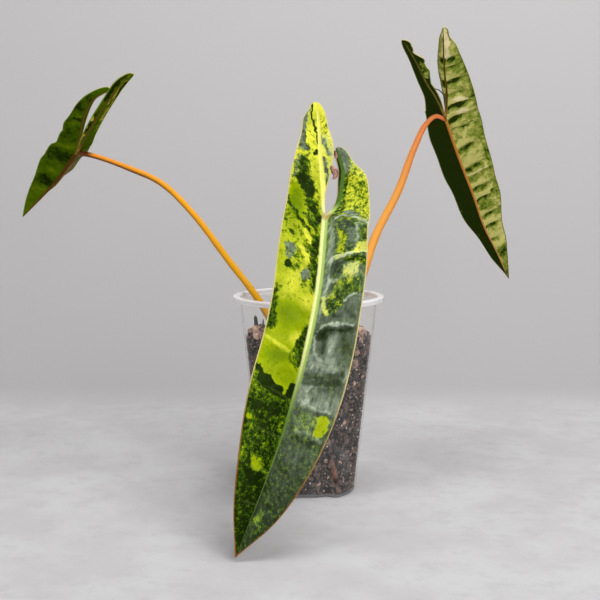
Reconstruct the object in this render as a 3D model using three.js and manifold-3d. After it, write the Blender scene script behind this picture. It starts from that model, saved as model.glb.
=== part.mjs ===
// A potted variegated philodendron with long arrow-shaped leaves, in a clear nursery pot.
// Millimetres, +Z up. The origin is the middle of the pot's flat base, and the front leaf
// hangs towards -Y.
import * as THREE from "three";
import { mergeVertices } from "three/addons/utils/BufferGeometryUtils.js";
import Module from "manifold-3d";

// Driving dimensions

const CLEARANCE = 0.3;

const POT = {
  height: 158,
  lipRadius: 60,
  lipHeight: 4.5,
  lipThickness: 1.2,
  topRadius: 55,
  footRadius: 38,
  wall: 1,
  floor: 1.6,
  footCorner: 4,
  sides: 48,
};

const FLUTES = { count: 3, depth: 8, height: 74, azimuth: -83 };

const DRAIN_HOLES = { count: 5, radius: 3.5, circle: 21, azimuth: -47 };

const SUBSTRATE = {
  edgeHeight: 126,
  crownHeight: 137,
  bumpHeight: 1.6,
  chips: 30,
  chipLength: [7, 15],
  chipBand: [14, 49],
  seed: 11,
};

const STEM = { foot: [-6, 8, 92], crown: [-5, 7, 144], footRadius: 11, crownRadius: 7, sides: 14 };

const STUBS = {
  old_petiole_stub: { foot: [-40, 3, 112], top: [-42.5, 4, 141], radius: 1.7 },
  old_sheath_stub: { foot: [-37, -1, 114], top: [-36, 0, 139], radius: 0.9 },
};

// Each petiole runs from the stem to the back of its leaf's notch.
const PETIOLES = {
  front: {
    route: [[-3, -6, 110], [-4, -13, 128], [-3, -30, 158], [2, -58, 190], [8, -88, 212], [11, -110, 221]],
    radii: [4.2, 3.6, 3.3, 2.6, 1.7],
  },
  right: {
    route: [
      [4, 9, 110], [13, 10, 122], [26, 13, 137], [42, 21, 167], [55, 30, 203], [74, 38, 240],
      [86, 43, 272], [97, 47, 294], [105, 49, 300], [114, 52, 297],
    ],
    radii: [4.4, 3.7, 3.4, 3, 1.6],
  },
  left: {
    route: [
      [-14, 7, 112], [-24, 7, 126], [-41, 11, 154], [-66, 25, 185], [-94, 38, 220], [-121, 48, 245],
      [-150, 54, 258], [-180, 59, 268], [-193, 62, 270],
    ],
    radii: [3.1, 2.8, 2.6, 2.4, 2],
  },
};

const PETIOLE_SIDES = 10;
const PETIOLE_STEP = 9;

// Left and right are as seen from above the leaf with its tip pointing down. A midrib runs from
// the notch to the tip, a lobe's rib from the notch to the lobe's end. Widths are half widths of
// the blade at equal steps along a rib. A fold lifts a half towards the upper face, in degrees.
const LEAVES = {
  front: {
    midrib: [[11, -110, 225], [6, -126, 176], [-5, -143, 125], [-20, -158, 77], [-34, -170, 41], [-50, -182, 3]],
    facing: { lobe: [0, -1, 0.2], notch: [0, -1, 0.3], tip: [0.1, -1, 0.3] },
    left: {
      width: [30, 32, 32, 32, 31, 28, 22, 14, 0],
      fold: [10, 25],
      lobe: [[9, -104, 245], [6, -96, 273], [4, -90, 297], [4, -88, 306]],
      outer: [30, 26, 22, 16, 11, 0],
      inner: [0, 3, 8, 10, 8, 0],
      innerFold: 10,
    },
    right: {
      width: [31, 32, 32, 33, 33, 31, 26, 17, 0],
      fold: [8, 25],
      lobe: [[17, -103, 238], [22, -92, 252], [23, -82, 267], [20, -76, 278]],
      outer: [31, 26, 21, 17, 11, 0],
      inner: [0, 2, 4, 4, 3, 0],
      innerFold: -70,
    },
  },
  right: {
    midrib: [[113, 50, 299], [128, 78, 267], [144, 104, 235], [158, 128, 205], [174, 148, 178], [187, 165, 154]],
    facing: { lobe: [0.35, 0.6, 0.65], notch: [0.35, 0.6, 0.65], tip: [0.35, 0.6, 0.65] },
    left: {
      width: [27, 27, 25, 24, 22, 18, 13, 7, 0],
      fold: [30, 30],
      lobe: [[112, 34, 316], [108, 16, 332], [105, 0, 347], [102, -21, 365]],
      outer: [27, 25, 20, 15, 9, 0],
      inner: [0, 3, 5, 6, 4, 0],
      innerFold: 10,
    },
    right: {
      width: [23, 27, 30, 30, 29, 26, 21, 13, 0],
      fold: [20, 25],
      lobe: [[104, 38, 314], [94, 22, 326], [86, 6, 338], [72, -18, 356]],
      outer: [23, 20, 14, 10, 7, 0],
      inner: [0, 3, 5, 6, 5, 0],
      innerFold: 10,
    },
  },
  left: {
    midrib: [[-192, 60, 271], [-205, 88, 260], [-220, 118, 247], [-238, 148, 233], [-266, 182, 213]],
    facing: { lobe: [0.2, 0.5, 0.84], notch: [0.2, 0.5, 0.84], tip: [0.2, 0.5, 0.84] },
    left: {
      width: [15, 18, 19, 19, 17, 14, 10, 6, 0],
      fold: [52, 52],
      lobe: [[-184, 45, 281], [-170, 20, 296], [-157, 0, 310], [-143, -20, 323], [-133, -30, 330]],
      outer: [15, 11, 9, 8, 6, 0],
      inner: [0, 3, 4, 4, 5, 0],
      innerFold: 20,
    },
    right: {
      width: [22, 24, 24, 23, 21, 17, 12, 7, 0],
      fold: [52, 52],
      lobe: [[-187, 47, 283], [-179, 25, 300], [-169, 8, 312], [-153, -8, 319]],
      outer: [22, 21, 16, 11, 6, 0],
      inner: [0, 1, 2, 2, 1, 0],
      innerFold: 20,
    },
  },
};

const BLADE = {
  rows: 22,
  lobeRows: 9,
  columns: 4,
  innerColumns: 2,
  thickness: 1,
  ribHeight: 2.2,
  quiltHeight: 1.4,
  lateralVeins: 11,
  arch: 0.06,
  waveHeight: 1.2,
  waves: 4,
};

const COLOURS = {
  variegatedUpper: { color: "#6d8a2c", roughness: 0.35, metalness: 0 },
  variegatedUnder: { color: "#5f6f33", roughness: 0.45, metalness: 0 },
  petiole: { color: "#e8a646", roughness: 0.45, metalness: 0 },
  stem: { color: "#7d6a3a", roughness: 0.6, metalness: 0 },
  stub: { color: "#4a4f45", roughness: 0.8, metalness: 0 },
  bark: { color: "#4f443c", roughness: 0.95, metalness: 0 },
  clearPlastic: { color: "#d9d9d6", roughness: 0.12, metalness: 0, transparent: true, opacity: 0.35 },
};

// Small helpers

const wasm = await Module();
wasm.setup();

const vector = (point) => new THREE.Vector3(...point);
const mix = (a, b, t) => a + (b - a) * t;
const clamp01 = (t) => Math.min(1, Math.max(0, t));
const smoothstep = (low, high, x) => {
  const t = clamp01((x - low) / (high - low));
  return t * t * (3 - 2 * t);
};

function seededRandom(seed) {
  let state = seed;
  return () => {
    state = (state * 1664525 + 1013904223) % 4294967296;
    return state / 4294967296;
  };
}

// A smooth curve through values that stand at equal steps from 0 to 1.
function profile(values, t) {
  const place = clamp01(t) * (values.length - 1);
  const i = Math.min(Math.floor(place), values.length - 2);
  const f = place - i;
  const [b, c] = [values[i], values[i + 1]];
  const a = values[i - 1] ?? 2 * b - c;
  const d = values[i + 2] ?? 2 * c - b;
  const curve = b + 0.5 * f * (c - a + f * (2 * a - 5 * b + 4 * c - d + f * (3 * (b - c) + d - a)));
  return Math.max(0, curve);
}

function toManifold(geometry) {
  const bare = geometry.clone();
  bare.deleteAttribute("normal");
  bare.deleteAttribute("uv");
  const merged = mergeVertices(bare, 1e-4);
  const mesh = new wasm.Mesh({
    numProp: 3,
    vertProperties: new Float32Array(merged.attributes.position.array),
    triVerts: new Uint32Array(merged.index.array),
  });
  return new wasm.Manifold(mesh);
}

// The largest body of a solid, as a geometry.
function toGeometry(solid) {
  const bodies = solid.decompose().sort((a, b) => b.volume() - a.volume());
  const mesh = bodies[0].getMesh();
  const geometry = new THREE.BufferGeometry();
  geometry.setAttribute("position", new THREE.BufferAttribute(new Float32Array(mesh.vertProperties), 3));
  geometry.setIndex(new THREE.BufferAttribute(new Uint32Array(mesh.triVerts), 1));
  geometry.computeVertexNormals();
  return geometry;
}

function named(name, geometry, finish) {
  const mesh = new THREE.Mesh(geometry, new THREE.MeshStandardMaterial(finish));
  mesh.name = name;
  return mesh;
}

// A round stalk along a curve, closed at both ends, whose radius follows a list of values.
function stalk(curve, radii, sides, steps, grow = 0) {
  const frames = curve.computeFrenetFrames(steps, false);
  const points = [];
  const triangles = [];
  for (let row = 0; row <= steps; row++) {
    const centre = curve.getPointAt(row / steps);
    const radius = profile(radii, row / steps) + grow;
    for (let side = 0; side < sides; side++) {
      const angle = (side / sides) * 2 * Math.PI;
      const across = frames.normals[row].clone().multiplyScalar(Math.cos(angle) * radius);
      across.addScaledVector(frames.binormals[row], Math.sin(angle) * radius);
      points.push(centre.clone().add(across));
    }
  }
  for (let row = 0; row < steps; row++) {
    for (let side = 0; side < sides; side++) {
      const next = (side + 1) % sides;
      const [a, b] = [row * sides + side, row * sides + next];
      triangles.push([a, b, b + sides], [a, b + sides, a + sides]);
    }
  }
  const foot = points.push(curve.getPointAt(0)) - 1;
  const head = points.push(curve.getPointAt(1)) - 1;
  const last = steps * sides;
  for (let side = 0; side < sides; side++) {
    const next = (side + 1) % sides;
    triangles.push([foot, next, side], [head, last + side, last + next]);
  }
  return meshGeometry(points, triangles);
}

function meshGeometry(points, triangles) {
  const geometry = new THREE.BufferGeometry();
  const flat = points.flatMap((p) => [p.x, p.y, p.z]);
  geometry.setAttribute("position", new THREE.Float32BufferAttribute(flat, 3));
  geometry.setIndex(triangles.flat());
  geometry.computeVertexNormals();
  return geometry;
}

// Pot: a tapered cup with a rolled lip, pressed-in flutes round its foot and drain holes

function wallRadius(z) {
  return mix(POT.footRadius, POT.topRadius, z / POT.height);
}

// The share of the radius that the flutes take away at a place on the wall.
function fluteShare(angle, z) {
  const fade = clamp01(1 - z / FLUTES.height) ** 1.2;
  const turn = Math.cos(FLUTES.count * (angle - THREE.MathUtils.degToRad(FLUTES.azimuth)));
  return (FLUTES.depth / wallRadius(z)) * fade * smoothstep(-0.1, 0.45, turn);
}

// A profile of [radius, height] points turned round the Z axis, with the flutes pressed in.
function flutedLathe(outline) {
  const points = outline.map(([radius, z]) => new THREE.Vector2(radius, z));
  const geometry = new THREE.LatheGeometry(points, POT.sides);
  geometry.rotateX(Math.PI / 2);
  const position = geometry.attributes.position;
  for (let i = 0; i < position.count; i++) {
    const [x, y, z] = [position.getX(i), position.getY(i), position.getZ(i)];
    const share = 1 - fluteShare(Math.atan2(y, x), z);
    position.setXY(i, x * share, y * share);
  }
  return geometry;
}

// Turning the bed from its top down splits its wall into the same triangles as the pot's inside.
function turnedInsideOut(geometry) {
  const index = geometry.index;
  for (let i = 0; i < index.count; i += 3) {
    const second = index.getX(i + 1);
    index.setX(i + 1, index.getX(i + 2));
    index.setX(i + 2, second);
  }
  return geometry;
}

const WALL_LEVELS = [10, 24, 40, 56, FLUTES.height, 110];

function potSolid() {
  const lipUnder = POT.height - POT.lipHeight;
  const inside = (z) => wallRadius(z) - POT.wall;
  const outline = [
    [0, 0],
    [POT.footRadius - POT.footCorner, 0],
    [POT.footRadius - POT.footCorner * 0.3, POT.footCorner * 0.3],
    [wallRadius(POT.footCorner), POT.footCorner],
    ...WALL_LEVELS.map((z) => [wallRadius(z), z]),
    [wallRadius(lipUnder - 1), lipUnder - 1],
    [POT.lipRadius - POT.lipThickness, lipUnder],
    [POT.lipRadius, lipUnder + POT.lipThickness],
    [POT.lipRadius, POT.height - POT.lipThickness],
    [POT.lipRadius - POT.lipThickness, POT.height],
    [inside(POT.height) + POT.wall, POT.height],
    [inside(POT.height), POT.height - POT.lipThickness],
    ...WALL_LEVELS.map((z) => [inside(z), z]).reverse(),
    [inside(POT.footCorner) - 1, POT.floor + 1.5],
    [inside(POT.footCorner) - 3, POT.floor],
    [0, POT.floor],
  ];
  let solid = toManifold(flutedLathe(outline));
  for (let i = 0; i < DRAIN_HOLES.count; i++) {
    const angle = THREE.MathUtils.degToRad(DRAIN_HOLES.azimuth + (360 / DRAIN_HOLES.count) * i);
    const hole = new THREE.CylinderGeometry(DRAIN_HOLES.radius, DRAIN_HOLES.radius, 3 * POT.floor, 12);
    hole.rotateX(Math.PI / 2);
    hole.translate(DRAIN_HOLES.circle * Math.cos(angle), DRAIN_HOLES.circle * Math.sin(angle), 0);
    solid = solid.subtract(toManifold(hole));
  }
  return solid;
}

// Substrate: a bark mix that fills the pot, mounded round the stem, with chips on its top

function substrateTop(x, y) {
  const reach = clamp01(Math.hypot(x, y) / wallRadius(SUBSTRATE.edgeHeight));
  const mound = mix(SUBSTRATE.crownHeight, SUBSTRATE.edgeHeight, reach ** 1.5);
  const bumps = Math.sin(x * 0.31 + 1) * Math.cos(y * 0.27) + Math.sin(x * 0.13 - y * 0.22 + 2);
  return mound + (SUBSTRATE.bumpHeight / 2) * bumps * (1 - reach ** 6);
}

function barkChip(random) {
  const angle = random() * 2 * Math.PI;
  const reach = mix(...SUBSTRATE.chipBand, Math.sqrt(random()));
  const length = mix(...SUBSTRATE.chipLength, random());
  const chip = new THREE.BoxGeometry(length, length * 0.6, length * 0.4);
  chip.rotateX(random() * 2);
  chip.rotateY(random() * 3);
  chip.rotateZ(random() * 6);
  const slide = Math.min(reach, SUBSTRATE.chipBand[1] - length * 0.63);
  const [x, y] = [slide * Math.cos(angle), slide * Math.sin(angle)];
  chip.translate(x, y, substrateTop(x, y) + length * 0.04);
  return chip;
}

function substrateSolid() {
  const gap = POT.wall + CLEARANCE;
  const outline = [
    [0, POT.floor + CLEARANCE],
    [wallRadius(POT.footCorner) - gap - 4, POT.floor + CLEARANCE],
    [wallRadius(POT.footCorner) - gap - 1.6, POT.floor + 2.2],
    ...WALL_LEVELS.map((z) => [wallRadius(z) - gap, z]),
    [wallRadius(SUBSTRATE.edgeHeight) - gap, SUBSTRATE.edgeHeight - 1],
    [wallRadius(SUBSTRATE.edgeHeight) - gap - 2, SUBSTRATE.edgeHeight],
    [40, SUBSTRATE.edgeHeight],
    [28, SUBSTRATE.edgeHeight],
    [14, SUBSTRATE.edgeHeight],
    [0, SUBSTRATE.edgeHeight],
  ];
  const bed = turnedInsideOut(flutedLathe(outline.reverse()));
  const position = bed.attributes.position;
  for (let i = 0; i < position.count; i++) {
    if (position.getZ(i) < SUBSTRATE.edgeHeight) continue;
    position.setZ(i, substrateTop(position.getX(i), position.getY(i)));
  }
  const random = seededRandom(SUBSTRATE.seed);
  let solid = toManifold(bed);
  for (let i = 0; i < SUBSTRATE.chips; i++) {
    solid = solid.add(toManifold(barkChip(random)));
  }
  return solid;
}

// Leaves: each half is a strip of blade on either side of a rib, and the whole sheet is then
// given its thickness on both faces with the same triangles

function ribCurve(start, points) {
  return new THREE.CatmullRomCurve3([start, ...points].map(vector), false, "centripetal");
}

function facingAt(leaf, place) {
  const end = vector(place < 0 ? leaf.facing.lobe : leaf.facing.tip);
  return vector(leaf.facing.notch).lerp(end, Math.abs(place)).normalize();
}

// Rows of one half from the tip (place 1) through the notch (place 0) to the lobe's end (place -1).
function ribRows(leaf, half) {
  const midrib = new THREE.CatmullRomCurve3(leaf.midrib.map(vector), false, "centripetal");
  const lobe = ribCurve(leaf.midrib[0], half.lobe);
  const rows = [];
  for (let i = BLADE.rows; i > -BLADE.lobeRows; i--) {
    const place = i > 0 ? i / BLADE.rows : i / BLADE.lobeRows;
    rows.push({ place, point: i > 0 ? midrib.getPointAt(place) : lobe.getPointAt(-place) });
  }
  rows.push({ place: -1, point: lobe.getPointAt(1) });
  return rows;
}

// The height of the quilting between side veins and of the wave along the margin.
function relief(place, reach, width) {
  const along = place < 0 ? place * 0.42 : place;
  const vein = Math.abs(Math.sin(Math.PI * BLADE.lateralVeins * (along - 0.1 * reach)));
  const quilt = BLADE.quiltHeight * vein * Math.sin(Math.PI * Math.min(1, reach * 1.05)) ** 0.7;
  const wave = BLADE.waveHeight * reach ** 3 * Math.sin(2 * Math.PI * BLADE.waves * along + 1);
  return (quilt + wave) * clamp01(width / 12);
}

function leafSheet(leaf) {
  const points = [];
  const ribs = [];
  const triangles = [];
  const shared = new Map();
  const vertex = (key, point, rib) => {
    if (key && shared.has(key)) return shared.get(key);
    const index = points.push(point) - 1;
    ribs.push(rib);
    if (key) shared.set(key, index);
    return index;
  };
  const strip = (lines, turned) => {
    for (let i = 0; i + 1 < lines.length; i++) {
      for (let j = 0; j + 1 < lines[i].length; j++) {
        const quad = [lines[i][j], lines[i + 1][j], lines[i + 1][j + 1], lines[i][j + 1]];
        if (turned) quad.reverse();
        const [a, b, c, d] = quad;
        if (a !== b && b !== c && c !== a) triangles.push([a, b, c]);
        if (a !== c && c !== d && d !== a) triangles.push([a, c, d]);
      }
    }
  };
  for (const [side, sign] of [["left", 1], ["right", -1]]) {
    const half = leaf[side];
    const rows = ribRows(leaf, half);
    const outerLines = [];
    const innerLines = [];
    rows.forEach(({ place, point }, i) => {
      const ahead = rows[Math.max(0, i - 3)].point;
      const behind = rows[Math.min(rows.length - 1, i + 3)].point;
      const along = ahead.clone().sub(behind).normalize();
      const across = along.clone().cross(facingAt(leaf, place)).normalize().multiplyScalar(sign);
      const upper = across.clone().cross(along).multiplyScalar(sign).normalize();
      const tip = i === 0;
      const end = i === rows.length - 1;
      const ribKey = tip ? "tip" : end ? `${side} end` : place >= 0 ? `rib ${i}` : null;
      const ribWeight = place < 0 ? (1 + place) * 0.6 : 1 - 0.85 * place;
      const ribVertex = vertex(ribKey, point, ribWeight);
      const width = place < 0 ? profile(half.outer, -place) : profile(half.width, place);
      const fold = THREE.MathUtils.degToRad(mix(half.fold[0], half.fold[1], Math.max(0, place)));
      const outward = (reach, angle, size, away) => {
        const arch = BLADE.arch * size * 4 * reach * (1 - reach);
        const rise = size * reach * Math.sin(angle) + arch + relief(place, reach, size);
        const spot = point.clone().addScaledVector(across, away * size * reach * Math.cos(angle));
        return spot.addScaledVector(upper, rise);
      };
      const outer = [ribVertex];
      for (let j = 1; j <= BLADE.columns; j++) {
        const reach = j / BLADE.columns;
        outer.push(tip || end ? ribVertex : vertex(null, outward(reach, fold, width, 1), 0));
      }
      outerLines.push(outer);
      if (place > 0) return;
      const innerWidth = profile(half.inner, -place);
      const innerFold = THREE.MathUtils.degToRad(half.innerFold);
      const inner = [ribVertex];
      for (let j = 1; j <= BLADE.innerColumns; j++) {
        const reach = j / BLADE.innerColumns;
        const flat = place === 0 || end;
        inner.push(flat ? ribVertex : vertex(null, outward(reach, innerFold, innerWidth, -1), 0));
      }
      innerLines.push(inner);
    });
    strip(outerLines, sign < 0);
    strip(innerLines, sign > 0);
  }
  return { points, triangles, ribs };
}

// A closed solid from a sheet of triangles: both faces are offset from it along its normals.
function thickened(sheet, grow = 0) {
  const middle = meshGeometry(sheet.points, sheet.triangles);
  const normals = middle.attributes.normal;
  const count = sheet.points.length;
  const face = (side) =>
    sheet.points.map((point, i) => {
      const normal = new THREE.Vector3().fromBufferAttribute(normals, i);
      const rib = side < 0 ? BLADE.ribHeight * sheet.ribs[i] : 0;
      return point.clone().addScaledVector(normal, side * (BLADE.thickness / 2 + rib + grow));
    });
  const edges = new Map();
  for (const [a, b, c] of sheet.triangles) {
    for (const [from, to] of [[a, b], [b, c], [c, a]]) edges.set(`${from} ${to}`, [from, to]);
  }
  const triangles = [
    ...sheet.triangles,
    ...sheet.triangles.map(([a, b, c]) => [a + count, c + count, b + count]),
  ];
  for (const [from, to] of edges.values()) {
    if (edges.has(`${to} ${from}`)) continue;
    triangles.push([from, from + count, to + count], [from, to + count, to]);
  }
  return meshGeometry([...face(1), ...face(-1)], triangles);
}

// Stem, petioles and stubs

function petioleCurve(route) {
  return new THREE.CatmullRomCurve3(route.map(vector), false, "centripetal");
}

function petioleSolid(petiole, grow = 0) {
  const curve = petioleCurve(petiole.route);
  const steps = Math.round(curve.getLength() / PETIOLE_STEP);
  return toManifold(stalk(curve, petiole.radii, PETIOLE_SIDES, steps, grow));
}

function straightStalk({ foot, top, radius }, grow = 0) {
  const curve = new THREE.LineCurve3(vector(foot), vector(top));
  return toManifold(stalk(curve, [radius, radius, radius * 0.9], 8, 3, grow));
}

function stemSolid(grow = 0) {
  const curve = new THREE.LineCurve3(vector(STEM.foot), vector(STEM.crown));
  const radii = [STEM.footRadius, STEM.footRadius, STEM.footRadius * 0.9, STEM.crownRadius, 2];
  return toManifold(stalk(curve, radii, STEM.sides, 8, grow));
}

// Assembly

const plant = new THREE.Group();
const leafSides = Object.keys(LEAVES);
const sheets = Object.fromEntries(leafSides.map((side) => [side, leafSheet(LEAVES[side])]));
const stem = stemSolid();
let substrate = substrateSolid().subtract(stemSolid(CLEARANCE));

for (const side of leafSides) {
  const leafClear = toManifold(thickened(sheets[side], CLEARANCE));
  const petiole = petioleSolid(PETIOLES[side]).subtract(leafClear).subtract(stemSolid(CLEARANCE));
  substrate = substrate.subtract(petioleSolid(PETIOLES[side], CLEARANCE));
  const finish = side === "front" ? COLOURS.variegatedUpper : COLOURS.variegatedUnder;
  plant.add(named(`leaf_${side}`, thickened(sheets[side]), finish));
  plant.add(named(`petiole_${side}`, toGeometry(petiole), COLOURS.petiole));
}

for (const [name, stub] of Object.entries(STUBS)) {
  substrate = substrate.subtract(straightStalk(stub, CLEARANCE));
  plant.add(named(name, toGeometry(straightStalk(stub)), COLOURS.stub));
}

plant.add(named("stem", toGeometry(stem), COLOURS.stem));
plant.add(named("substrate", toGeometry(substrate), COLOURS.bark));
plant.add(named("pot", toGeometry(potSolid()), COLOURS.clearPlastic));

export default plant;
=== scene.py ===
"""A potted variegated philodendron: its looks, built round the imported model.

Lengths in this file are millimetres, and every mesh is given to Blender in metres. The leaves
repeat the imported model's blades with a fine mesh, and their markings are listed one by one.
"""

import logging
import math
from dataclasses import dataclass, replace
from enum import Enum
from typing import Any

import bpy
import numpy as np
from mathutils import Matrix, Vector

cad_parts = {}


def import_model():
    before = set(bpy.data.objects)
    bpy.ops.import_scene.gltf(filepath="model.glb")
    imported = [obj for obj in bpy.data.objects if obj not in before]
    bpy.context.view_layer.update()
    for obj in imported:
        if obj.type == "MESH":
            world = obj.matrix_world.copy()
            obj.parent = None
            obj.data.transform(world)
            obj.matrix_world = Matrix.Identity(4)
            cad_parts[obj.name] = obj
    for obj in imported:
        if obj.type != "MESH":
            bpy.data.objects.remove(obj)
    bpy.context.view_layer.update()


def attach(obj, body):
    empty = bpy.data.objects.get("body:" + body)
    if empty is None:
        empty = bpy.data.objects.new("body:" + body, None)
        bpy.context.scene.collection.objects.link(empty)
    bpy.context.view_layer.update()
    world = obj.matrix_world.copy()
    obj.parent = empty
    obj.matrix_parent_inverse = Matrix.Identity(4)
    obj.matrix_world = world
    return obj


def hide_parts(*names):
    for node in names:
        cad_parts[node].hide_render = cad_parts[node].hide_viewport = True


MM = 0.001
BODY = "root"

# How close two points are to count as one
SAME_PLACE = 1e-3

Point = tuple[float, float, float]
Place = tuple[float, float]
Tint = tuple[int, int, int]
Colour = tuple[float, float, float, float]
Row = tuple[float, ...]
Line = tuple[Place, ...]
Values = dict[Any, Any]
Array = np.ndarray
Piece = bpy.types.Object
Material = bpy.types.Material
Output = bpy.types.NodeSocket

# A loose bit's breadth as a share of its length, and how many lumps there are to a metre
BIT_BREADTH = 0.72
LUMPS_PER_METRE = 420.0

# What turns the two numbers of a lattice corner, and a seed, into a number without a pattern
NOISE_FACTORS = (127.1, 311.7, 74.7)
NOISE_SPREAD = 43758.5453

log = logging.getLogger("philodendron")


# Numbers and curves


def smoothstep(low: float, high: float, x: Array) -> Array:
    """Eases from 0 to 1.

    Args:
        low: Where the result leaves 0.
        high: Where the result reaches 1.
        x: Places to ease.

    Returns:
        The eased shares, shaped as x.
    """
    t = np.clip((x - low) / (high - low), 0, 1)
    return t * t * (3 - 2 * t)


def profile(values: Row, t: Array) -> Array:
    """Reads a smooth curve through values that stand at equal steps from 0 to 1.

    Args:
        values: The curve's values, which are never below 0.
        t: Places from 0 to 1.

    Returns:
        The curve's height at each place.
    """
    v = np.asarray(values, float)
    t = np.clip(np.asarray(t, float), 0, 1) * (len(v) - 1)
    i = np.minimum(np.floor(t).astype(int), len(v) - 2)
    f = t - i
    ends = np.concatenate([[2 * v[0] - v[1]], v, [2 * v[-1] - v[-2]]])
    a, b, c, d = ends[i], ends[i + 1], ends[i + 2], ends[i + 3]
    height = b + 0.5 * f * (c - a + f * (2 * a - 5 * b + 4 * c - d + f * (3 * (b - c) + d - a)))
    return np.maximum(0, height)


def rounded(values: Row, t: Array) -> Array:
    """Reads a profile whose last stretch closes like an ellipse.

    Args:
        values: The curve's values, which are never below 0.
        t: Places from 0 to 1.

    Returns:
        The curve's height at each place.
    """
    last = np.clip((np.asarray(t) - 1) * (len(values) - 1) + 1, 0, 1)
    plain = profile(values[:-1] + (values[-2],), t)
    return plain * np.sqrt(1 - last**2)


def stops(pairs: Line, t: Array) -> Array:
    """Reads straight lines between (place, value) pairs.

    Args:
        pairs: Places in rising order, each with its value.
        t: Where to read.

    Returns:
        The value at each place.
    """
    places, values = zip(*pairs)
    return np.interp(t, places, values)


def hump(x: Array, width: float) -> Array:
    """Returns 1 where x is 0, and less as it nears width and passes it."""
    return np.exp(-((x / width) ** 2))


def unit(vectors: Array) -> Array:
    """Returns the vectors at length 1."""
    return vectors / np.maximum(1e-12, np.linalg.norm(vectors, axis=-1, keepdims=True))


def value_noise(x: Array, y: Array, seed: int) -> Array:
    """Makes a smooth random field with one bump to each unit cell.

    Args:
        x: First coordinate, in cells.
        y: Second coordinate, in cells.
        seed: Which field.

    Returns:
        Heights from -1 to 1.
    """
    first, second, third = NOISE_FACTORS

    def corner(i: Array, j: Array) -> Array:
        """Returns one random height from -1 to 1 for each lattice corner."""
        wave = np.sin(i * first + j * second + seed * third) * NOISE_SPREAD
        return 2 * (wave - np.floor(wave)) - 1

    i, j = np.floor(x), np.floor(y)
    f, g = smoothstep(0, 1, x - i), smoothstep(0, 1, y - j)
    low = corner(i, j) * (1 - f) + corner(i + 1, j) * f
    high = corner(i, j + 1) * (1 - f) + corner(i + 1, j + 1) * f
    return low * (1 - g) + high * g


class Route:
    """A smooth curve through points, read by its share of length."""

    SAMPLES = 1500

    def __init__(self, points: tuple[Point, ...]) -> None:
        """Samples the curve.

        Args:
            points: What the curve passes through, in order.
        """
        p = np.asarray(points, float)
        ends = np.vstack([2 * p[0] - p[1], p, 2 * p[-1] - p[-2]])
        t = np.linspace(0, 1, self.SAMPLES) * (len(p) - 1)
        i = np.minimum(np.floor(t).astype(int), len(p) - 2)
        w = (t - i)[:, None]
        a, b, c, d = ends[i], ends[i + 1], ends[i + 2], ends[i + 3]
        ab, bc, cd = self._knot(a, b), self._knot(b, c), self._knot(c, d)
        start = ((b - a) / ab - (c - a) / (ab + bc) + (c - b) / bc) * bc
        end = ((c - b) / bc - (d - b) / (bc + cd) + (d - c) / cd) * bc
        bend = 3 * (c - b) - 2 * start - end
        twist = 2 * (b - c) + start + end
        self.samples = b + start * w + bend * w**2 + twist * w**3
        steps = np.linalg.norm(np.diff(self.samples, axis=0), axis=1)
        self.travelled = np.concatenate([[0], np.cumsum(steps)])
        self.length = float(self.travelled[-1])

    @staticmethod
    def _knot(first: Array, second: Array) -> Array:
        """Returns the roots of the distances between points, which keep the curve free of loops."""
        return np.linalg.norm(second - first, axis=1, keepdims=True) ** 0.5

    def at(self, share: Array) -> Array:
        """Returns the points at these shares of the length."""
        distance = np.clip(share, 0, 1) * self.length
        return np.stack([np.interp(distance, self.travelled, self.samples[:, k]) for k in range(3)], -1)


# Meshes


def linked(name: str, data: Any) -> Piece:
    """Adds an object to the scene.

    Args:
        name: Its name.
        data: Its mesh, light or camera.

    Returns:
        The object.
    """
    piece = bpy.data.objects.new(name, data)
    bpy.context.scene.collection.objects.link(piece)
    return piece


def settled(piece: Piece) -> bpy.types.Mesh:
    """Returns a copy of a piece's mesh with its modifiers applied."""
    depsgraph = bpy.context.evaluated_depsgraph_get()
    return bpy.data.meshes.new_from_object(piece.evaluated_get(depsgraph), depsgraph=depsgraph)


def give_field(mesh: bpy.types.Mesh, name: str, values: Array) -> None:
    """Gives the points of a mesh a named field.

    Args:
        mesh: The mesh.
        name: The field's name.
        values: One or three numbers for each point.
    """
    kind, key = ("FLOAT", "value") if values.ndim == 1 else ("FLOAT_VECTOR", "vector")
    attribute = mesh.attributes.new(name, kind, "POINT")
    attribute.data.foreach_set(key, values.astype(np.float32).ravel())


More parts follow.
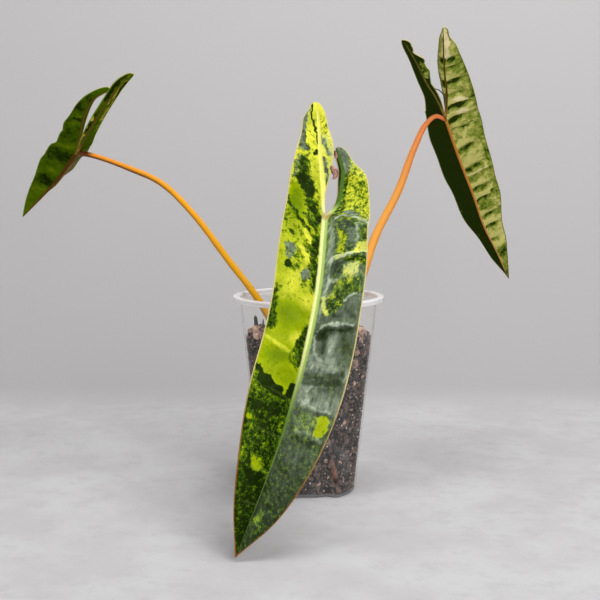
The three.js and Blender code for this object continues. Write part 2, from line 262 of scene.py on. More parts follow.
@dataclass
class Shell:
    """Points, triangles and what each point carries, before they become a piece.

    Attributes:
        points: Rows of x, y, z in millimetres.
        faces: Rows of three point numbers.
        slots: The material number of each face.
        fields: Named values of each point, one or three numbers wide.
    """

    points: Array
    faces: Array
    slots: Array
    fields: dict[str, Array]

    def merged(self) -> "Shell":
        """Joins points that lie in one place and drops the faces that collapse.

        Returns:
            The joined shell.
        """
        keys = np.round(self.points / SAME_PLACE).astype(np.int64)
        _, first, number = np.unique(keys, axis=0, return_index=True, return_inverse=True)
        faces = number.reshape(-1)[self.faces]
        a, b, c = faces.T
        whole = (a != b) & (b != c) & (c != a)
        fields = {name: values[first] for name, values in self.fields.items()}
        return Shell(self.points[first], faces[whole], self.slots[whole], fields)

    def normals(self) -> Array:
        """Returns the smooth normal of each point."""
        a, b, c = (self.points[self.faces[:, k]] for k in range(3))
        across = np.cross(b - a, c - a)
        total = np.zeros_like(self.points)
        for k in range(3):
            np.add.at(total, self.faces[:, k], across)
        return unit(total)

    def rim(self) -> Array:
        """Returns the open edges as rows of two point numbers, along their face's turn."""
        edges = np.vstack([self.faces[:, [0, 1]], self.faces[:, [1, 2]], self.faces[:, [2, 0]]])
        keys = np.sort(edges, axis=1)
        _, number, count = np.unique(keys, axis=0, return_inverse=True, return_counts=True)
        return edges[count[number.reshape(-1)] == 1]

    def piece(self, name: str, materials: list[Material]) -> Piece:
        """Makes the piece.

        Args:
            name: The piece's name.
            materials: One for each material number.

        Returns:
            The linked object, at the origin.
        """
        mesh = bpy.data.meshes.new(name)
        mesh.from_pydata((self.points * MM).tolist(), [], self.faces.tolist())
        for material in materials:
            mesh.materials.append(material)
        mesh.polygons.foreach_set("material_index", self.slots.astype(np.int32))
        mesh.polygons.foreach_set("use_smooth", np.ones(len(self.faces), bool))
        for field_name, values in self.fields.items():
            give_field(mesh, field_name, values)
        mesh.update()
        return linked(name, mesh)


def grid_faces(rows: int, columns: int, turned: bool = False, closed: bool = False) -> Array:
    """Splits a grid of points into triangles.

    Args:
        rows: How many rows of points there are.
        columns: How many points each row has.
        turned: Whether the faces look the other way.
        closed: Whether the last column meets the first.

    Returns:
        Rows of three point numbers.
    """
    i, j = np.meshgrid(np.arange(rows - 1), np.arange(columns if closed else columns - 1), indexing="ij")
    beside = (j + 1) % columns
    a, b = i * columns + j, (i + 1) * columns + j
    c, d = (i + 1) * columns + beside, i * columns + beside
    faces = np.concatenate([np.stack([a, b, c], -1).reshape(-1, 3), np.stack([a, c, d], -1).reshape(-1, 3)])
    return faces[:, ::-1] if turned else faces


def hand_over(piece: Piece, node: str) -> None:
    """Tells the frame which body carries a piece and what it stands for.

    Args:
        piece: The finished piece.
        node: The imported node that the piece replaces.
    """
    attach(piece, BODY)
    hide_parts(node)
    log.info("%s: %d faces, stands for %s", piece.name, len(piece.data.polygons), node)


# Shader maths


def linear(tint: Tint) -> Colour:
    """Turns a tint into the colour that the shader takes.

    Args:
        tint: Display values of red, green and blue, from 0 to 255.

    Returns:
        The linear colour.
    """
    def channel(value: float) -> float:
        """Returns one channel without its display curve."""
        value /= 255
        return value / 12.92 if value <= 0.04045 else ((value + 0.055) / 1.055) ** 2.4

    return (*(channel(value) for value in tint), 1.0)


class Socket:
    """A node's output. Python's operators on it add Math nodes."""

    def __init__(self, graph: "Graph", output: Output) -> None:
        """Keeps the output and the graph that it is in."""
        self.graph = graph
        self.output = output

    def _math(self, operation: str, first: Any, second: Any) -> "Socket":
        """Adds one Math node.

        Args:
            operation: The node's operation.
            first: Its first value or socket.
            second: Its second value or socket.

        Returns:
            The result.
        """
        return self.graph.node("ShaderNodeMath", {0: first, 1: second}, operation=operation)

    def __add__(self, other: Any) -> "Socket":
        """Adds."""
        return self._math("ADD", self, other)

    __radd__ = __add__

    def __sub__(self, other: Any) -> "Socket":
        """Takes other away."""
        return self._math("SUBTRACT", self, other)

    def __rsub__(self, other: Any) -> "Socket":
        """Takes this away from other."""
        return self._math("SUBTRACT", other, self)

    def __mul__(self, other: Any) -> "Socket":
        """Multiplies."""
        return self._math("MULTIPLY", self, other)

    __rmul__ = __mul__

    def eased(self, low: float, high: float) -> "Socket":
        """Eases from 0 at low to 1 at high."""
        inputs = {0: self, 1: low, 2: high, 3: 0.0, 4: 1.0}
        return self.graph.node("ShaderNodeMapRange", inputs, interpolation_type="SMOOTHSTEP")


class NodeTree:
    """A tree of nodes whose inputs are set or linked by their name or number."""

    def __init__(self, tree: bpy.types.NodeTree) -> None:
        """Keeps the tree."""
        self.tree = tree

    def fill(self, node: bpy.types.Node, inputs: Values) -> None:
        """Sets or links a node's inputs.

        Args:
            node: The node.
            inputs: Values or sockets by input name or number.
        """
        for key, value in inputs.items():
            value = value.output if isinstance(value, Socket) else value
            if isinstance(value, Output):
                self.tree.links.new(value, node.inputs[key])
            else:
                node.inputs[key].default_value = value

    def node(self, kind: str, inputs: Values, output: Any = 0, **settings: str) -> Any:
        """Adds a node.

        Args:
            kind: The node's type.
            inputs: Values or sockets by input name or number.
            output: Which output to return.
            **settings: The node's properties.

        Returns:
            That output.
        """
        node = self.tree.nodes.new(kind)
        for name, value in settings.items():
            setattr(node, name, value)
        self.fill(node, inputs)
        return node.outputs[output]


class Graph(NodeTree):
    """A material's node tree with one Principled shader."""

    def __init__(self, name: str) -> None:
        """Starts an empty material.

        Args:
            name: The material's name.
        """
        self.material = bpy.data.materials.new(name)
        self.material.use_nodes = True
        super().__init__(self.material.node_tree)
        self.tree.nodes.clear()
        self.shader = self.tree.nodes.new("ShaderNodeBsdfPrincipled")
        closing = self.tree.nodes.new("ShaderNodeOutputMaterial")
        self.tree.links.new(self.shader.outputs[0], closing.inputs["Surface"])

    def node(self, kind: str, inputs: Values, output: Any = 0, **settings: str) -> Socket:
        """Adds a node and returns that output with its operators."""
        return Socket(self, super().node(kind, inputs, output, **settings))

    def surface(self, inputs: Values) -> Material:
        """Sets the shader's inputs and returns the material."""
        self.fill(self.shader, inputs)
        return self.material

    def field(self, name: str) -> Socket:
        """Returns a point field of one number."""
        return self.node("ShaderNodeAttribute", {}, "Fac", attribute_name=name)

    def fields(self, name: str) -> tuple[Socket, Socket, Socket]:
        """Returns the three numbers of a point field."""
        return self.parts(self.vector(name))

    def parts(self, vector: Socket) -> tuple[Socket, Socket, Socket]:
        """Takes a vector apart.

        Args:
            vector: The vector.

        Returns:
            Its three numbers.
        """
        node = self.tree.nodes.new("ShaderNodeSeparateXYZ")
        self.tree.links.new(vector.output, node.inputs[0])
        return tuple(Socket(self, node.outputs[k]) for k in range(3))

    def vector(self, name: str) -> Socket:
        """Returns a point field of three numbers as a vector."""
        return self.node("ShaderNodeAttribute", {}, "Vector", attribute_name=name)

    def here(self) -> Socket:
        """Returns the Object coordinates."""
        return self.node("ShaderNodeTexCoord", {}, "Object")

    def scaled(self, vector: Socket, factors: Point) -> Socket:
        """Returns a vector times three factors."""
        return self.node("ShaderNodeVectorMath", {0: vector, 1: factors}, operation="MULTIPLY")

    def noise(self, vector: Socket, scale: float, detail: float = 3.0, roughness: float = 0.6) -> Socket:
        """Adds a noise of about 0.5 on average.

        Args:
            vector: Where to read it.
            scale: Bumps to each unit.
            detail: How many finer layers it has.
            roughness: How strong those are.

        Returns:
            Its strength.
        """
        inputs = {"Vector": vector, "Scale": scale, "Detail": detail, "Roughness": roughness}
        return self.node("ShaderNodeTexNoise", inputs, "Fac")

    def mix(self, factor: Socket, first: Socket | Tint, second: Socket | Tint) -> Socket:
        """Mixes two colours.

        Args:
            factor: How much there is of the second.
            first: One colour or tint.
            second: The other.

        Returns:
            The mixed colour.
        """
        ends = (end if isinstance(end, Socket) else linear(end) for end in (first, second))
        inputs = dict(zip((0, 6, 7), (factor, *ends)))
        return self.node("ShaderNodeMix", inputs, 2, data_type="RGBA")

    def bump(self, height: Socket, distance: float) -> Socket:
        """Returns a normal that a height in shares of distance tilts, with distance in millimetres."""
        inputs = {"Height": height, "Distance": distance * MM, "Strength": 1.0}
        return self.node("ShaderNodeBump", inputs, "Normal")


# Finishes


@dataclass(frozen=True)
class BladeFinish:
    """A leaf face: dark and lime tissue, pale ribs, a thin pale margin, and a dusty silvery layer with
    painted sheen.

    Attributes:
        name: The material's name.
        dark: Deep green tissue.
        fresh: The lighter green that the deep green varies to.
        lime: Tissue with little green.
        olive: Where lime is greener.
        yellow: Where lime has no green left.
        sheen_veil: The silvery layer on parts of the blade, partly a dusty grey layer and partly painted
            sheen.
        rib: The midrib's left flank.
        rib_shade: The midrib's right flank.
        rib_end: The midrib towards the tip.
        left_lobe_rib: The rib of the left lobe.
        right_lobe_rib: The rib of the right lobe.
        vein: Side veins; on the variegated under face it is painted shade in the creases along them.
        margin: The blade's thin edge.
        margin_end: The edge near the tip, and a scar in the notch.
        gloss: Its roughness.
        shine: How strongly it mirrors.
        shine_tint: The colour that it mirrors with where it is faced.
        vein_share: How clearly the side veins show, and on the variegated under face the painted shade in
            their creases.
        fleck: How much the tissue varies from speck to speck.
        mottle: How much it varies over a centimetre.
        blend: How softly dark tissue runs into lime.
    """

    name: str
    dark: Tint
    fresh: Tint
    lime: Tint
    olive: Tint
    yellow: Tint
    sheen_veil: Tint
    rib: Tint
    rib_shade: Tint
    rib_end: Tint
    left_lobe_rib: Tint
    right_lobe_rib: Tint
    vein: Tint
    margin: Tint
    margin_end: Tint
    gloss: float = 0.36
    shine: float = 0.2
    shine_tint: Colour = (0.45, 0.7, 0.12, 1.0)
    vein_share: float = 0.12
    fleck: float = 2.1
    mottle: float = 0.5
    blend: float = 0.08

    def material(self) -> Material:
        """Returns the material."""
        g = Graph(self.name)
        place = g.vector("place")
        across, along, half = g.fields("place")
        lime_share, warmth, sheen_veil = g.fields("marks")
        rib, margin, vein = g.fields("parts")
        flecks = g.noise(g.scaled(place, (0.95, 0.8, 1.0)), 0.42, 5.0, 0.66)
        fine = g.noise(g.scaled(place, (1.0, 0.9, 1.0)), 1.0)
        silk = g.noise(g.scaled(place, (1.0, 0.45, 1.0)), 0.3)
        broad = g.noise(place, 0.09, 3.0, 0.55)
        mottle = g.noise(place, 0.17, 4.0, 0.55)
        tissue = lime_share + (flecks - 0.5 + (fine - 0.5) * 0.42) * self.fleck + (mottle - 0.5) * self.mottle
        deep = g.mix(tissue.eased(0.2, 0.44), self.dark, self.fresh)
        pale = g.mix((warmth - 0.5) * 2, self.lime, self.yellow)
        pale = g.mix((0.5 - warmth) * 2, pale, self.olive)
        pale = g.mix(broad.eased(0.4, 0.7) * 0.35, pale, self.olive)
        pale = g.mix(tissue.eased(0.88, 0.55) * 0.9, pale, self.olive)
        tint = g.mix(tissue.eased(0.53 - self.blend, 0.53 + self.blend), deep, pale)
        # Painted sheen: the silvery layer is laid over the tissue in streaks, partly a dusty grey layer and
        # partly painted sheen.
        film_and_sheen = sheen_veil * (0.36 + (flecks - 0.5) * 0.5 + (silk - 0.5) * 1.1 + (broad - 0.5) * 0.9)
        tint = g.mix(film_and_sheen, tint, self.sheen_veil)
        tint = g.mix(vein * self.vein_share, tint, self.vein)
        flank = g.mix(across.eased(-0.9, 1.6), self.rib, self.rib_shade)
        flank = g.mix(along.eased(80.0, 150.0), flank, self.rib_end)
        lobe_rib = g.mix(half.eased(-1.0, 1.0), self.right_lobe_rib, self.left_lobe_rib)
        flank = g.mix(along.eased(-4.0, -16.0), flank, lobe_rib)
        flank = g.mix(along.eased(-5.0, -1.0) * along.eased(4.0, 1.0) * 0.6, flank, self.margin_end)
        tint = g.mix(rib, tint, flank)
        rim = g.mix((along + (flecks - 0.5) * 90).eased(95.0, 185.0), self.margin, self.margin_end)
        tint = g.mix(margin * 0.9, tint, rim)
        height = g.noise(place, 0.3, 3.0, 0.55) + fine * 0.25
        roughness = self.gloss + (g.noise(place, 0.2) - 0.5) * 0.3
        return g.surface({
            "Base Color": tint,
            "Roughness": roughness,
            "Normal": g.bump(height, 0.6),
            "Specular IOR Level": self.shine,
            "Specular Tint": self.shine_tint,
        })


@dataclass(frozen=True)
class StalkFinish:
    """A petiole's skin, whose colour runs along it and darkens where it joins the leaf, with painted shade on
    its lower side.

    Attributes:
        name: The material's name.
        foot: Tint at the stem.
        middle: Tint half way.
        head: Tint at the bend below the leaf.
        end: Tint of the last stretch, and of the painted shade on the lower side.
        end_from: Where the last stretch starts, as a share of the length.
        underside_shade: How much of that colour its lower side has as painted shade, mostly near the leaf.
    """

    name: str
    foot: Tint
    middle: Tint
    head: Tint
    end: Tint
    end_from: float = 0.985
    underside_shade: float = 0.0

    def material(self) -> Material:
        """Returns the material."""
        g = Graph(self.name)
        along = g.field("along")
        here = g.here()
        mottle = g.noise(here, 420.0)
        tint = g.mix(along.eased(0.1, 0.55), self.foot, self.middle)
        tint = g.mix(along.eased(0.55, 0.95), tint, self.head)
        tint = g.mix(mottle.eased(0.56, 0.75) * 0.35, tint, self.foot)
        # Painted shade: the lower side darkens towards the end tint, more near the leaf.
        underside_shade = (along.eased(0.4, 0.85) * 0.5 + 0.5) * self.underside_shade
        tint = g.mix(g.field("below").eased(-0.3, 0.6) * underside_shade, tint, self.end)
        tint = g.mix(along.eased(self.end_from - 0.02, self.end_from + 0.01), tint, self.end)
        height = g.noise(g.scaled(here, (1.0, 1.0, 0.25)), 900.0)
        return g.surface({
            "Base Color": tint,
            "Roughness": 0.32 + mottle * 0.25,
            "Normal": g.bump(height, 0.12),
            "Specular IOR Level": 0.3,
            "Specular Tint": (1.0, 0.72, 0.4, 1.0),
        })


@dataclass(frozen=True)
class BarkFinish:
    """Loose organic matter, each bit with a tint of its own.

    Attributes:
        name: The material's name.
        dark: The darkest bits.
        light: The lightest bits.
        fleck: Pale dust on the bits.
        dust: How much of them the dust covers, from 0 to 1.
        grain: Bumps to each metre.
    """

    name: str
    dark: Tint
    light: Tint
    fleck: Tint
    dust: float = 0.2
    grain: float = 700.0

    def material(self) -> Material:
        """Returns the material."""
        g = Graph(self.name)
        here = g.here()
        bit = g.field("bit")
        patches = g.noise(here, self.grain * 0.4, 4.0, 0.65)
        grain = g.noise(here, self.grain, 4.0, 0.7)
        tint = g.mix((bit * 0.7 + (patches - 0.5) * 2.4 + 0.1).eased(0.15, 0.95), self.dark, self.light)
        tint = g.mix(grain.eased(0.72 - 0.2 * self.dust, 0.8) * 0.85, tint, self.fleck)
        return g.surface({
            "Base Color": tint,
            "Roughness": 0.85,
            "Normal": g.bump(grain + patches, 0.8),
            "Specular IOR Level": 0.25,
        })


@dataclass(frozen=True)
class PlasticFinish:
    """Thin clear plastic that is milky where it is seen at a slant.

    Attributes:
        name: The material's name.
        tint: The plastic's colour.
        clear: How solid it looks when faced.
        slanted: How solid it looks at its edge.
        lip: How solid its rolled lip looks.
        lip_from: The height where the lip starts, in metres.
        outline: The painted shade along its very edge, and the painted contact shadow at its foot on the
            floor.
    """

    name: str
    tint: Tint
    clear: float
    slanted: float
    lip: float
    lip_from: float
    outline: Tint

    def material(self) -> Material:
        """Returns the material."""
        g = Graph(self.name)
        here = g.here()
        slant = g.node("ShaderNodeLayerWeight", {"Blend": 0.35}, "Facing")
        _, _, height = g.parts(here)
        scuff = g.noise(g.scaled(here, (1.0, 1.0, 0.2)), 260.0, 4.0, 0.65)
        smear = g.noise(here, 60.0)
        streak = g.noise(g.scaled(here, (1.0, 1.0, 0.04)), 420.0)
        sheen_veil = slant.eased(0.5, 0.95) * (0.25 + streak.eased(0.35, 0.65) * 0.75)
        solid = self.clear + sheen_veil * (self.slanted - self.clear)
        solid = solid + (scuff.eased(0.55, 0.8) * 0.5 + smear.eased(0.5, 0.8)) * 0.06
        solid = solid + height.eased(self.lip_from - 0.0006, self.lip_from + 0.0006) * (self.lip - self.clear)
        hollow = height.eased(self.lip_from + 0.0008, self.lip_from + 0.0018)
        hollow = hollow * height.eased(self.lip_from + 0.004, self.lip_from + 0.003)
        solid = solid - hollow * (self.lip * 0.3)
        below_lip = height.eased(self.lip_from + 0.0006, self.lip_from - 0.0006)
        # Painted shade: a dark line along the wall's silhouette below the lip, and a painted contact shadow
        # over the lowest 4 millimetres of the foot.
        line = slant.eased(0.68, 0.8) * below_lip * 0.6 + height.eased(0.004, 0.0005) * 0.8
        return g.surface({
            "Base Color": g.mix(line, self.tint, self.outline),
            "Roughness": 0.1 + scuff * 0.12,
            "Alpha": solid + line * 0.7,
            "Normal": g.bump(g.noise(here, 130.0, 2.0, 0.5), 0.12),
            "Coat Weight": 0.3,
            "Coat Roughness": 0.08,
        })


@dataclass(frozen=True)
class StudioFinish:
    """The plain matt floor and wall behind and below the plant, clear when seen from behind.

    Attributes:
        name: The material's name.
        tint: Its middle colour.
        pale: Its lighter clouds.
        deep: Its darker specks, the painted shade of the floor as it nears the wall, and the wall's tint.
        corner: Where it meets the wall, in metres.
    """

    name: str
    tint: Tint
    pale: Tint
    deep: Tint
    corner: float

    def material(self) -> Material:
        """Returns the material."""
        g = Graph(self.name)
        here = g.here()
        _, depth, _ = g.parts(here)
        cloud = g.noise(here, 12.0, 5.0, 0.62)
        grit = g.noise(here, 55.0, 5.0, 0.7)
        tint = g.mix(cloud.eased(0.38, 0.62), self.tint, self.pale)
        tint = g.mix(grit.eased(0.48, 0.68) * 0.6, tint, self.deep)
        # Painted shade: the floor darkens over its last 16 centimetres before the wall, and the wall takes
        # the same darker tint.
        tint = g.mix(depth.eased(self.corner - 0.16, self.corner - 0.004), tint, self.deep)
        return g.surface({
            "Base Color": tint,
            "Roughness": 0.8,
            "Alpha": 1 - g.node("ShaderNodeNewGeometry", {}, "Backfacing"),
            "Specular IOR Level": 0.2,
        })


UPPER_FACE = BladeFinish(
    name="variegated_upper_face",
    dark=(12, 28, 2), fresh=(62, 92, 8), lime=(158, 178, 2), olive=(96, 122, 4), yellow=(250, 246, 76),
    sheen_veil=(192, 206, 182), rib=(242, 244, 164), rib_shade=(174, 202, 108), rib_end=(98, 128, 56),
    left_lobe_rib=(244, 240, 120), right_lobe_rib=(84, 118, 44), vein=(150, 170, 90),
    margin=(226, 208, 140), margin_end=(150, 88, 28), shine=0.25,
)

# On this face the dark vein tint is painted shade in the creases along the side veins.
UNDER_FACE = BladeFinish(
    name="variegated_under_face",
    dark=(38, 52, 12), fresh=(106, 130, 36), lime=(212, 208, 122), olive=(152, 158, 66),
    yellow=(254, 238, 186), sheen_veil=(214, 208, 160), rib=(210, 142, 62), rib_shade=(186, 128, 54),
    rib_end=(206, 148, 84), left_lobe_rib=(104, 62, 24), right_lobe_rib=(136, 130, 62),
    vein=(58, 66, 14), margin=(112, 118, 44), margin_end=(100, 104, 34), gloss=0.6, shine=0.0,
    vein_share=0.2, fleck=0.9, mottle=1.3, blend=0.24,
)

LEFT_UNDER_FACE = BladeFinish(
    name="green_under_face",
    dark=(24, 38, 2), fresh=(60, 84, 5), lime=(118, 138, 18), olive=(88, 114, 6), yellow=(206, 186, 76),
    sheen_veil=(150, 132, 92), rib=(110, 70, 34), rib_shade=(96, 58, 18), rib_end=(120, 84, 36),
    left_lobe_rib=(104, 84, 20), right_lobe_rib=(92, 58, 16), vein=(100, 130, 20),
    margin=(120, 144, 24), margin_end=(150, 164, 50), gloss=0.6, shine=0.0, vein_share=0.06, fleck=0.25,
    blend=0.3,
)

SIDE_UPPER_FACE = replace(
    UPPER_FACE, name="side_leaf_upper_face",
    lime=(132, 144, 40), rib=(150, 104, 50), rib_shade=(128, 92, 40), left_lobe_rib=(104, 88, 30),
    right_lobe_rib=(104, 88, 30), shine=0.05,
)

GOLDEN_STALK = StalkFinish(
    name="golden_petiole_skin",
    foot=(236, 172, 22), middle=(242, 166, 28), head=(234, 146, 48), end=(96, 48, 20), end_from=0.955,
    underside_shade=0.9,
)

CORAL_STALK = StalkFinish(
    name="coral_petiole_skin",
    foot=(242, 172, 74), middle=(250, 172, 76), head=(248, 146, 84), end=(226, 112, 62), underside_shade=0.6,
)

STEM_SKIN = BarkFinish("stem_skin", (70, 58, 30), (128, 112, 60), (160, 140, 96), grain=300.0)
SLIVER_SKIN = BarkFinish("long_sliver_skin", (48, 28, 22), (158, 118, 100), (200, 172, 156), grain=300.0)
SCRAP_SKIN = BarkFinish("dried_scrap_skin", (92, 48, 40), (212, 164, 150), (232, 204, 194), grain=380.0)
STUB_SKIN = BarkFinish("dried_stub_skin", (50, 54, 48), (92, 94, 84), (140, 138, 124), grain=500.0)
DARK_BED = BarkFinish("damp_bark_bed", (18, 14, 13), (48, 38, 34), (110, 96, 86), dust=0.25)
GRANULES = BarkFinish("bark_and_charcoal_granules", (21, 17, 16), (118, 98, 87), (198, 180, 164), dust=0.5)
DRY_GRANULES = replace(GRANULES, name="dry_top_granules", light=(168, 136, 120), dust=0.6)
CHIPS = BarkFinish("bark_chips", (72, 52, 44), (214, 178, 156), (222, 204, 186), dust=0.35, grain=450.0)
PALE_GRIT = BarkFinish("pale_mineral_grit", (170, 152, 138), (240, 230, 218), (250, 246, 240), dust=0.3)

CLEAR_WALL = PlasticFinish(
    name="clear_pot_plastic",
    tint=(250, 248, 249), clear=0.03, slanted=0.34, lip=0.86, lip_from=0.1535, outline=(74, 64, 60),
)

SWEEP = StudioFinish(
    name="pale_studio_concrete",
    tint=(193, 191, 192), pale=(202, 201, 202), deep=(187, 185, 185), corner=0.435,
)


# Markings of a leaf, placed in millimetres across from the rib and along from the notch


class Mark(Enum):
    """What a marking does: which fields it moves, each to which value."""

    LIME = (("bias", 1.0),)
    SPOTTED = (("bias", 0.45),)
    MOTTLED = (("bias", 0.05),)
    FLECKED = (("bias", -0.25),)
    DARK = (("bias", -0.6),)
    BLACK = (("bias", -1.1),)
    YELLOW = (("warmth", 1.0),)
    OLIVE = (("warmth", -1.0),)
    # The last field lays on a dusty silvery layer with painted sheen: at 2.5 it is a painted highlight on a
    # ridge, and at 0 it is taken away.
    SHEENED = (("sheen_veil", 1.0),)
    PAINTED_HIGHLIGHT = (("sheen_veil", 2.5),)
    NO_SHEEN = (("sheen_veil", 0.0),)
    LEMON = (("bias", 1.0), ("warmth", 1.0))
    PURE = (("bias", 1.0), ("sheen_veil", 0.0))
    OPEN = (("bias", 0.45), ("sheen_veil", 0.0))
    BARE = (("bias", -0.25), ("sheen_veil", 0.0))
    ASHEN = (("bias", -0.6), ("sheen_veil", 0.8))
    INKY = (("bias", -1.1), ("sheen_veil", 0.0))


@dataclass(frozen=True)
class Blot:
    """An oval marking.

    Attributes:
        mark: What it does.
        at: Its middle, (across, along).
        size: Its half widths, (across, along).
        share: How strong it is.
        soft: How wide its edge is, as a share of its size.
        turn: How far it is turned, in degrees, from across towards along.
    """

    mark: Mark
    at: Place
    size: Place
    share: float = 1.0
    soft: float = 0.3
    turn: float = 0.0

    def weight(self, across: Array, along: Array) -> Array:
        """Weighs the marking.

        Args:
            across: Places across from the rib.
            along: Places along from the notch.

        Returns:
            How much of the marking lies at each place.
        """
        x, y = across - self.at[0], along - self.at[1]
        c, s = math.cos(math.radians(self.turn)), math.sin(math.radians(self.turn))
        reach = np.hypot((x * c + y * s) / self.size[0], (y * c - x * s) / self.size[1])
        return self.share * (1 - smoothstep(1 - self.soft, 1 + self.soft, reach))


def line_distance(across: Array, along: Array, points: Line) -> Array:
    """Measures how far places lie from a line through points.

    Args:
        across: First coordinates.
        along: Second coordinates.
        points: The line's corners.

    Returns:
        The distances.
    """
    nearest = np.full(across.shape, 1e9)
    for (ax, ay), (bx, by) in zip(points, points[1:]):
        dx, dy = bx - ax, by - ay
        share = np.clip(((across - ax) * dx + (along - ay) * dy) / (dx * dx + dy * dy), 0, 1)
        nearest = np.minimum(nearest, np.hypot(across - ax - share * dx, along - ay - share * dy))
    return nearest


@dataclass(frozen=True)
class Streak:
    """A marking along a line, with its half width."""

    mark: Mark
    points: Line
    width: float
    share: float = 1.0

    def weight(self, across: Array, along: Array) -> Array:
        """Returns how much of the marking lies at each place."""
        distance = line_distance(across, along, self.points)
        return self.share * (1 - smoothstep(0.6 * self.width, 1.4 * self.width, distance))


@dataclass(frozen=True)
class Patch:
    """A marking inside an outline, with an edge that fades over soft millimetres."""

    mark: Mark
    outline: Line
    soft: float = 0.6
    share: float = 1.0

    def weight(self, across: Array, along: Array) -> Array:
        """Weighs the marking.

        Args:
            across: Places across from the rib.
            along: Places along from the notch.

        Returns:
            How much of the marking lies at each place.
        """
        ring = self.outline + self.outline[:1]
        inside = np.zeros(across.shape, bool)
        for (ax, ay), (bx, by) in zip(ring, ring[1:]):
            if ay == by:
                continue
            spans = (ay > along) != (by > along)
            inside ^= spans & (across < ax + (along - ay) * (bx - ax) / (by - ay))
        distance = line_distance(across, along, ring)
        signed = np.where(inside, distance, -distance)
        return self.share * smoothstep(-self.soft, self.soft, signed)


Marking = Blot | Streak | Patch


# Leaves


@dataclass(frozen=True)
class Swell:
    """A fold of the blade along one side vein, or a bulge of its margin.

    Attributes:
        along: Where it leaves the rib, or where it lies on the margin.
        height: How far it stands up or out, or sinks where negative.
        width: Its half width.
    """

    along: float
    height: float
    width: float = 2.5

    def lift(self, along: Array) -> Array:
        """Returns how far it lifts the blade at these places along it."""
        return self.height * hump(along - self.along, self.width)


def swells(*rows: Row) -> tuple[Swell, ...]:
    """Returns folds or bulges from rows of their values."""
    return tuple(Swell(*row) for row in rows)


@dataclass(frozen=True)
class HalfBlade:
    """One half of a leaf.

    Attributes:
        width: Half widths of the blade at equal steps from the notch to the tip.
        fold: How far the half lifts towards the upper face, at the notch and at the tip, in degrees.
        lobe: What the lobe's rib passes through after the notch.
        outer: Widths outside the lobe's rib at equal steps from the notch to the lobe's end.
        inner: Widths inside the lobe's rib, likewise.
        inner_fold: How far the inside lifts.
        sweep: How far side veins reach back towards the lobes, by their place along the leaf.
        creases: Folds along side veins, in order.
        pillow: How high the blade bulges between creases.
        ground: How much lime there is, from -1 to 1, by the place along the leaf.
        markings: What is laid over the ground, in order.
        sweep_reach: Across how many millimetres the side veins do most of their sweep.
        warmth: How yellow or olive the lime is, from 1 to -1, by the place along the leaf.
        film_and_sheen: How strong the dusty silvery layer with its painted sheen is, likewise.
        ruffles: Bulges and dips of the margin.
        inner_ruffles: Those of the margin inside the lobe.
        contrast: How much paler the blade is painted before each crease, and darker behind it, as painted
            highlight and shade.
    """

    width: Row
    fold: Place
    lobe: tuple[Point, ...]
    outer: Row
    inner: Row
    inner_fold: float
    sweep: Line
    creases: tuple[Swell, ...]
    pillow: float
    ground: Line
    markings: tuple[Marking, ...]
    sweep_reach: float = 20
    warmth: Line = ((0, 0.0),)
    film_and_sheen: Line = ((0, 0.0),)
    ruffles: tuple[Swell, ...] = ()
    inner_ruffles: tuple[Swell, ...] = ()
    contrast: float = 0.0


@dataclass
class Spots:
    """Where the points of a strip of the blade lie, in millimetres or shares.

    Attributes:
        side: Across from the rib.
        along: Along the leaf from the notch.
        swept: The same, but read where the side vein there leaves the rib.
        reach: From 0 at the rib to 1 at the margin.
        size: How wide the strip is there.
        place: From 1 at the tip over 0 at the notch to -1 at the lobe's end.
    """

    side: Array
    along: Array
    swept: Array
    reach: Array
    size: Array
    place: Array


@dataclass(frozen=True)
class Facing:
    """Which way the blade's upper face looks, at the lobes' ends, the notch and the tip."""

    lobe: Point
    notch: Point
    tip: Point


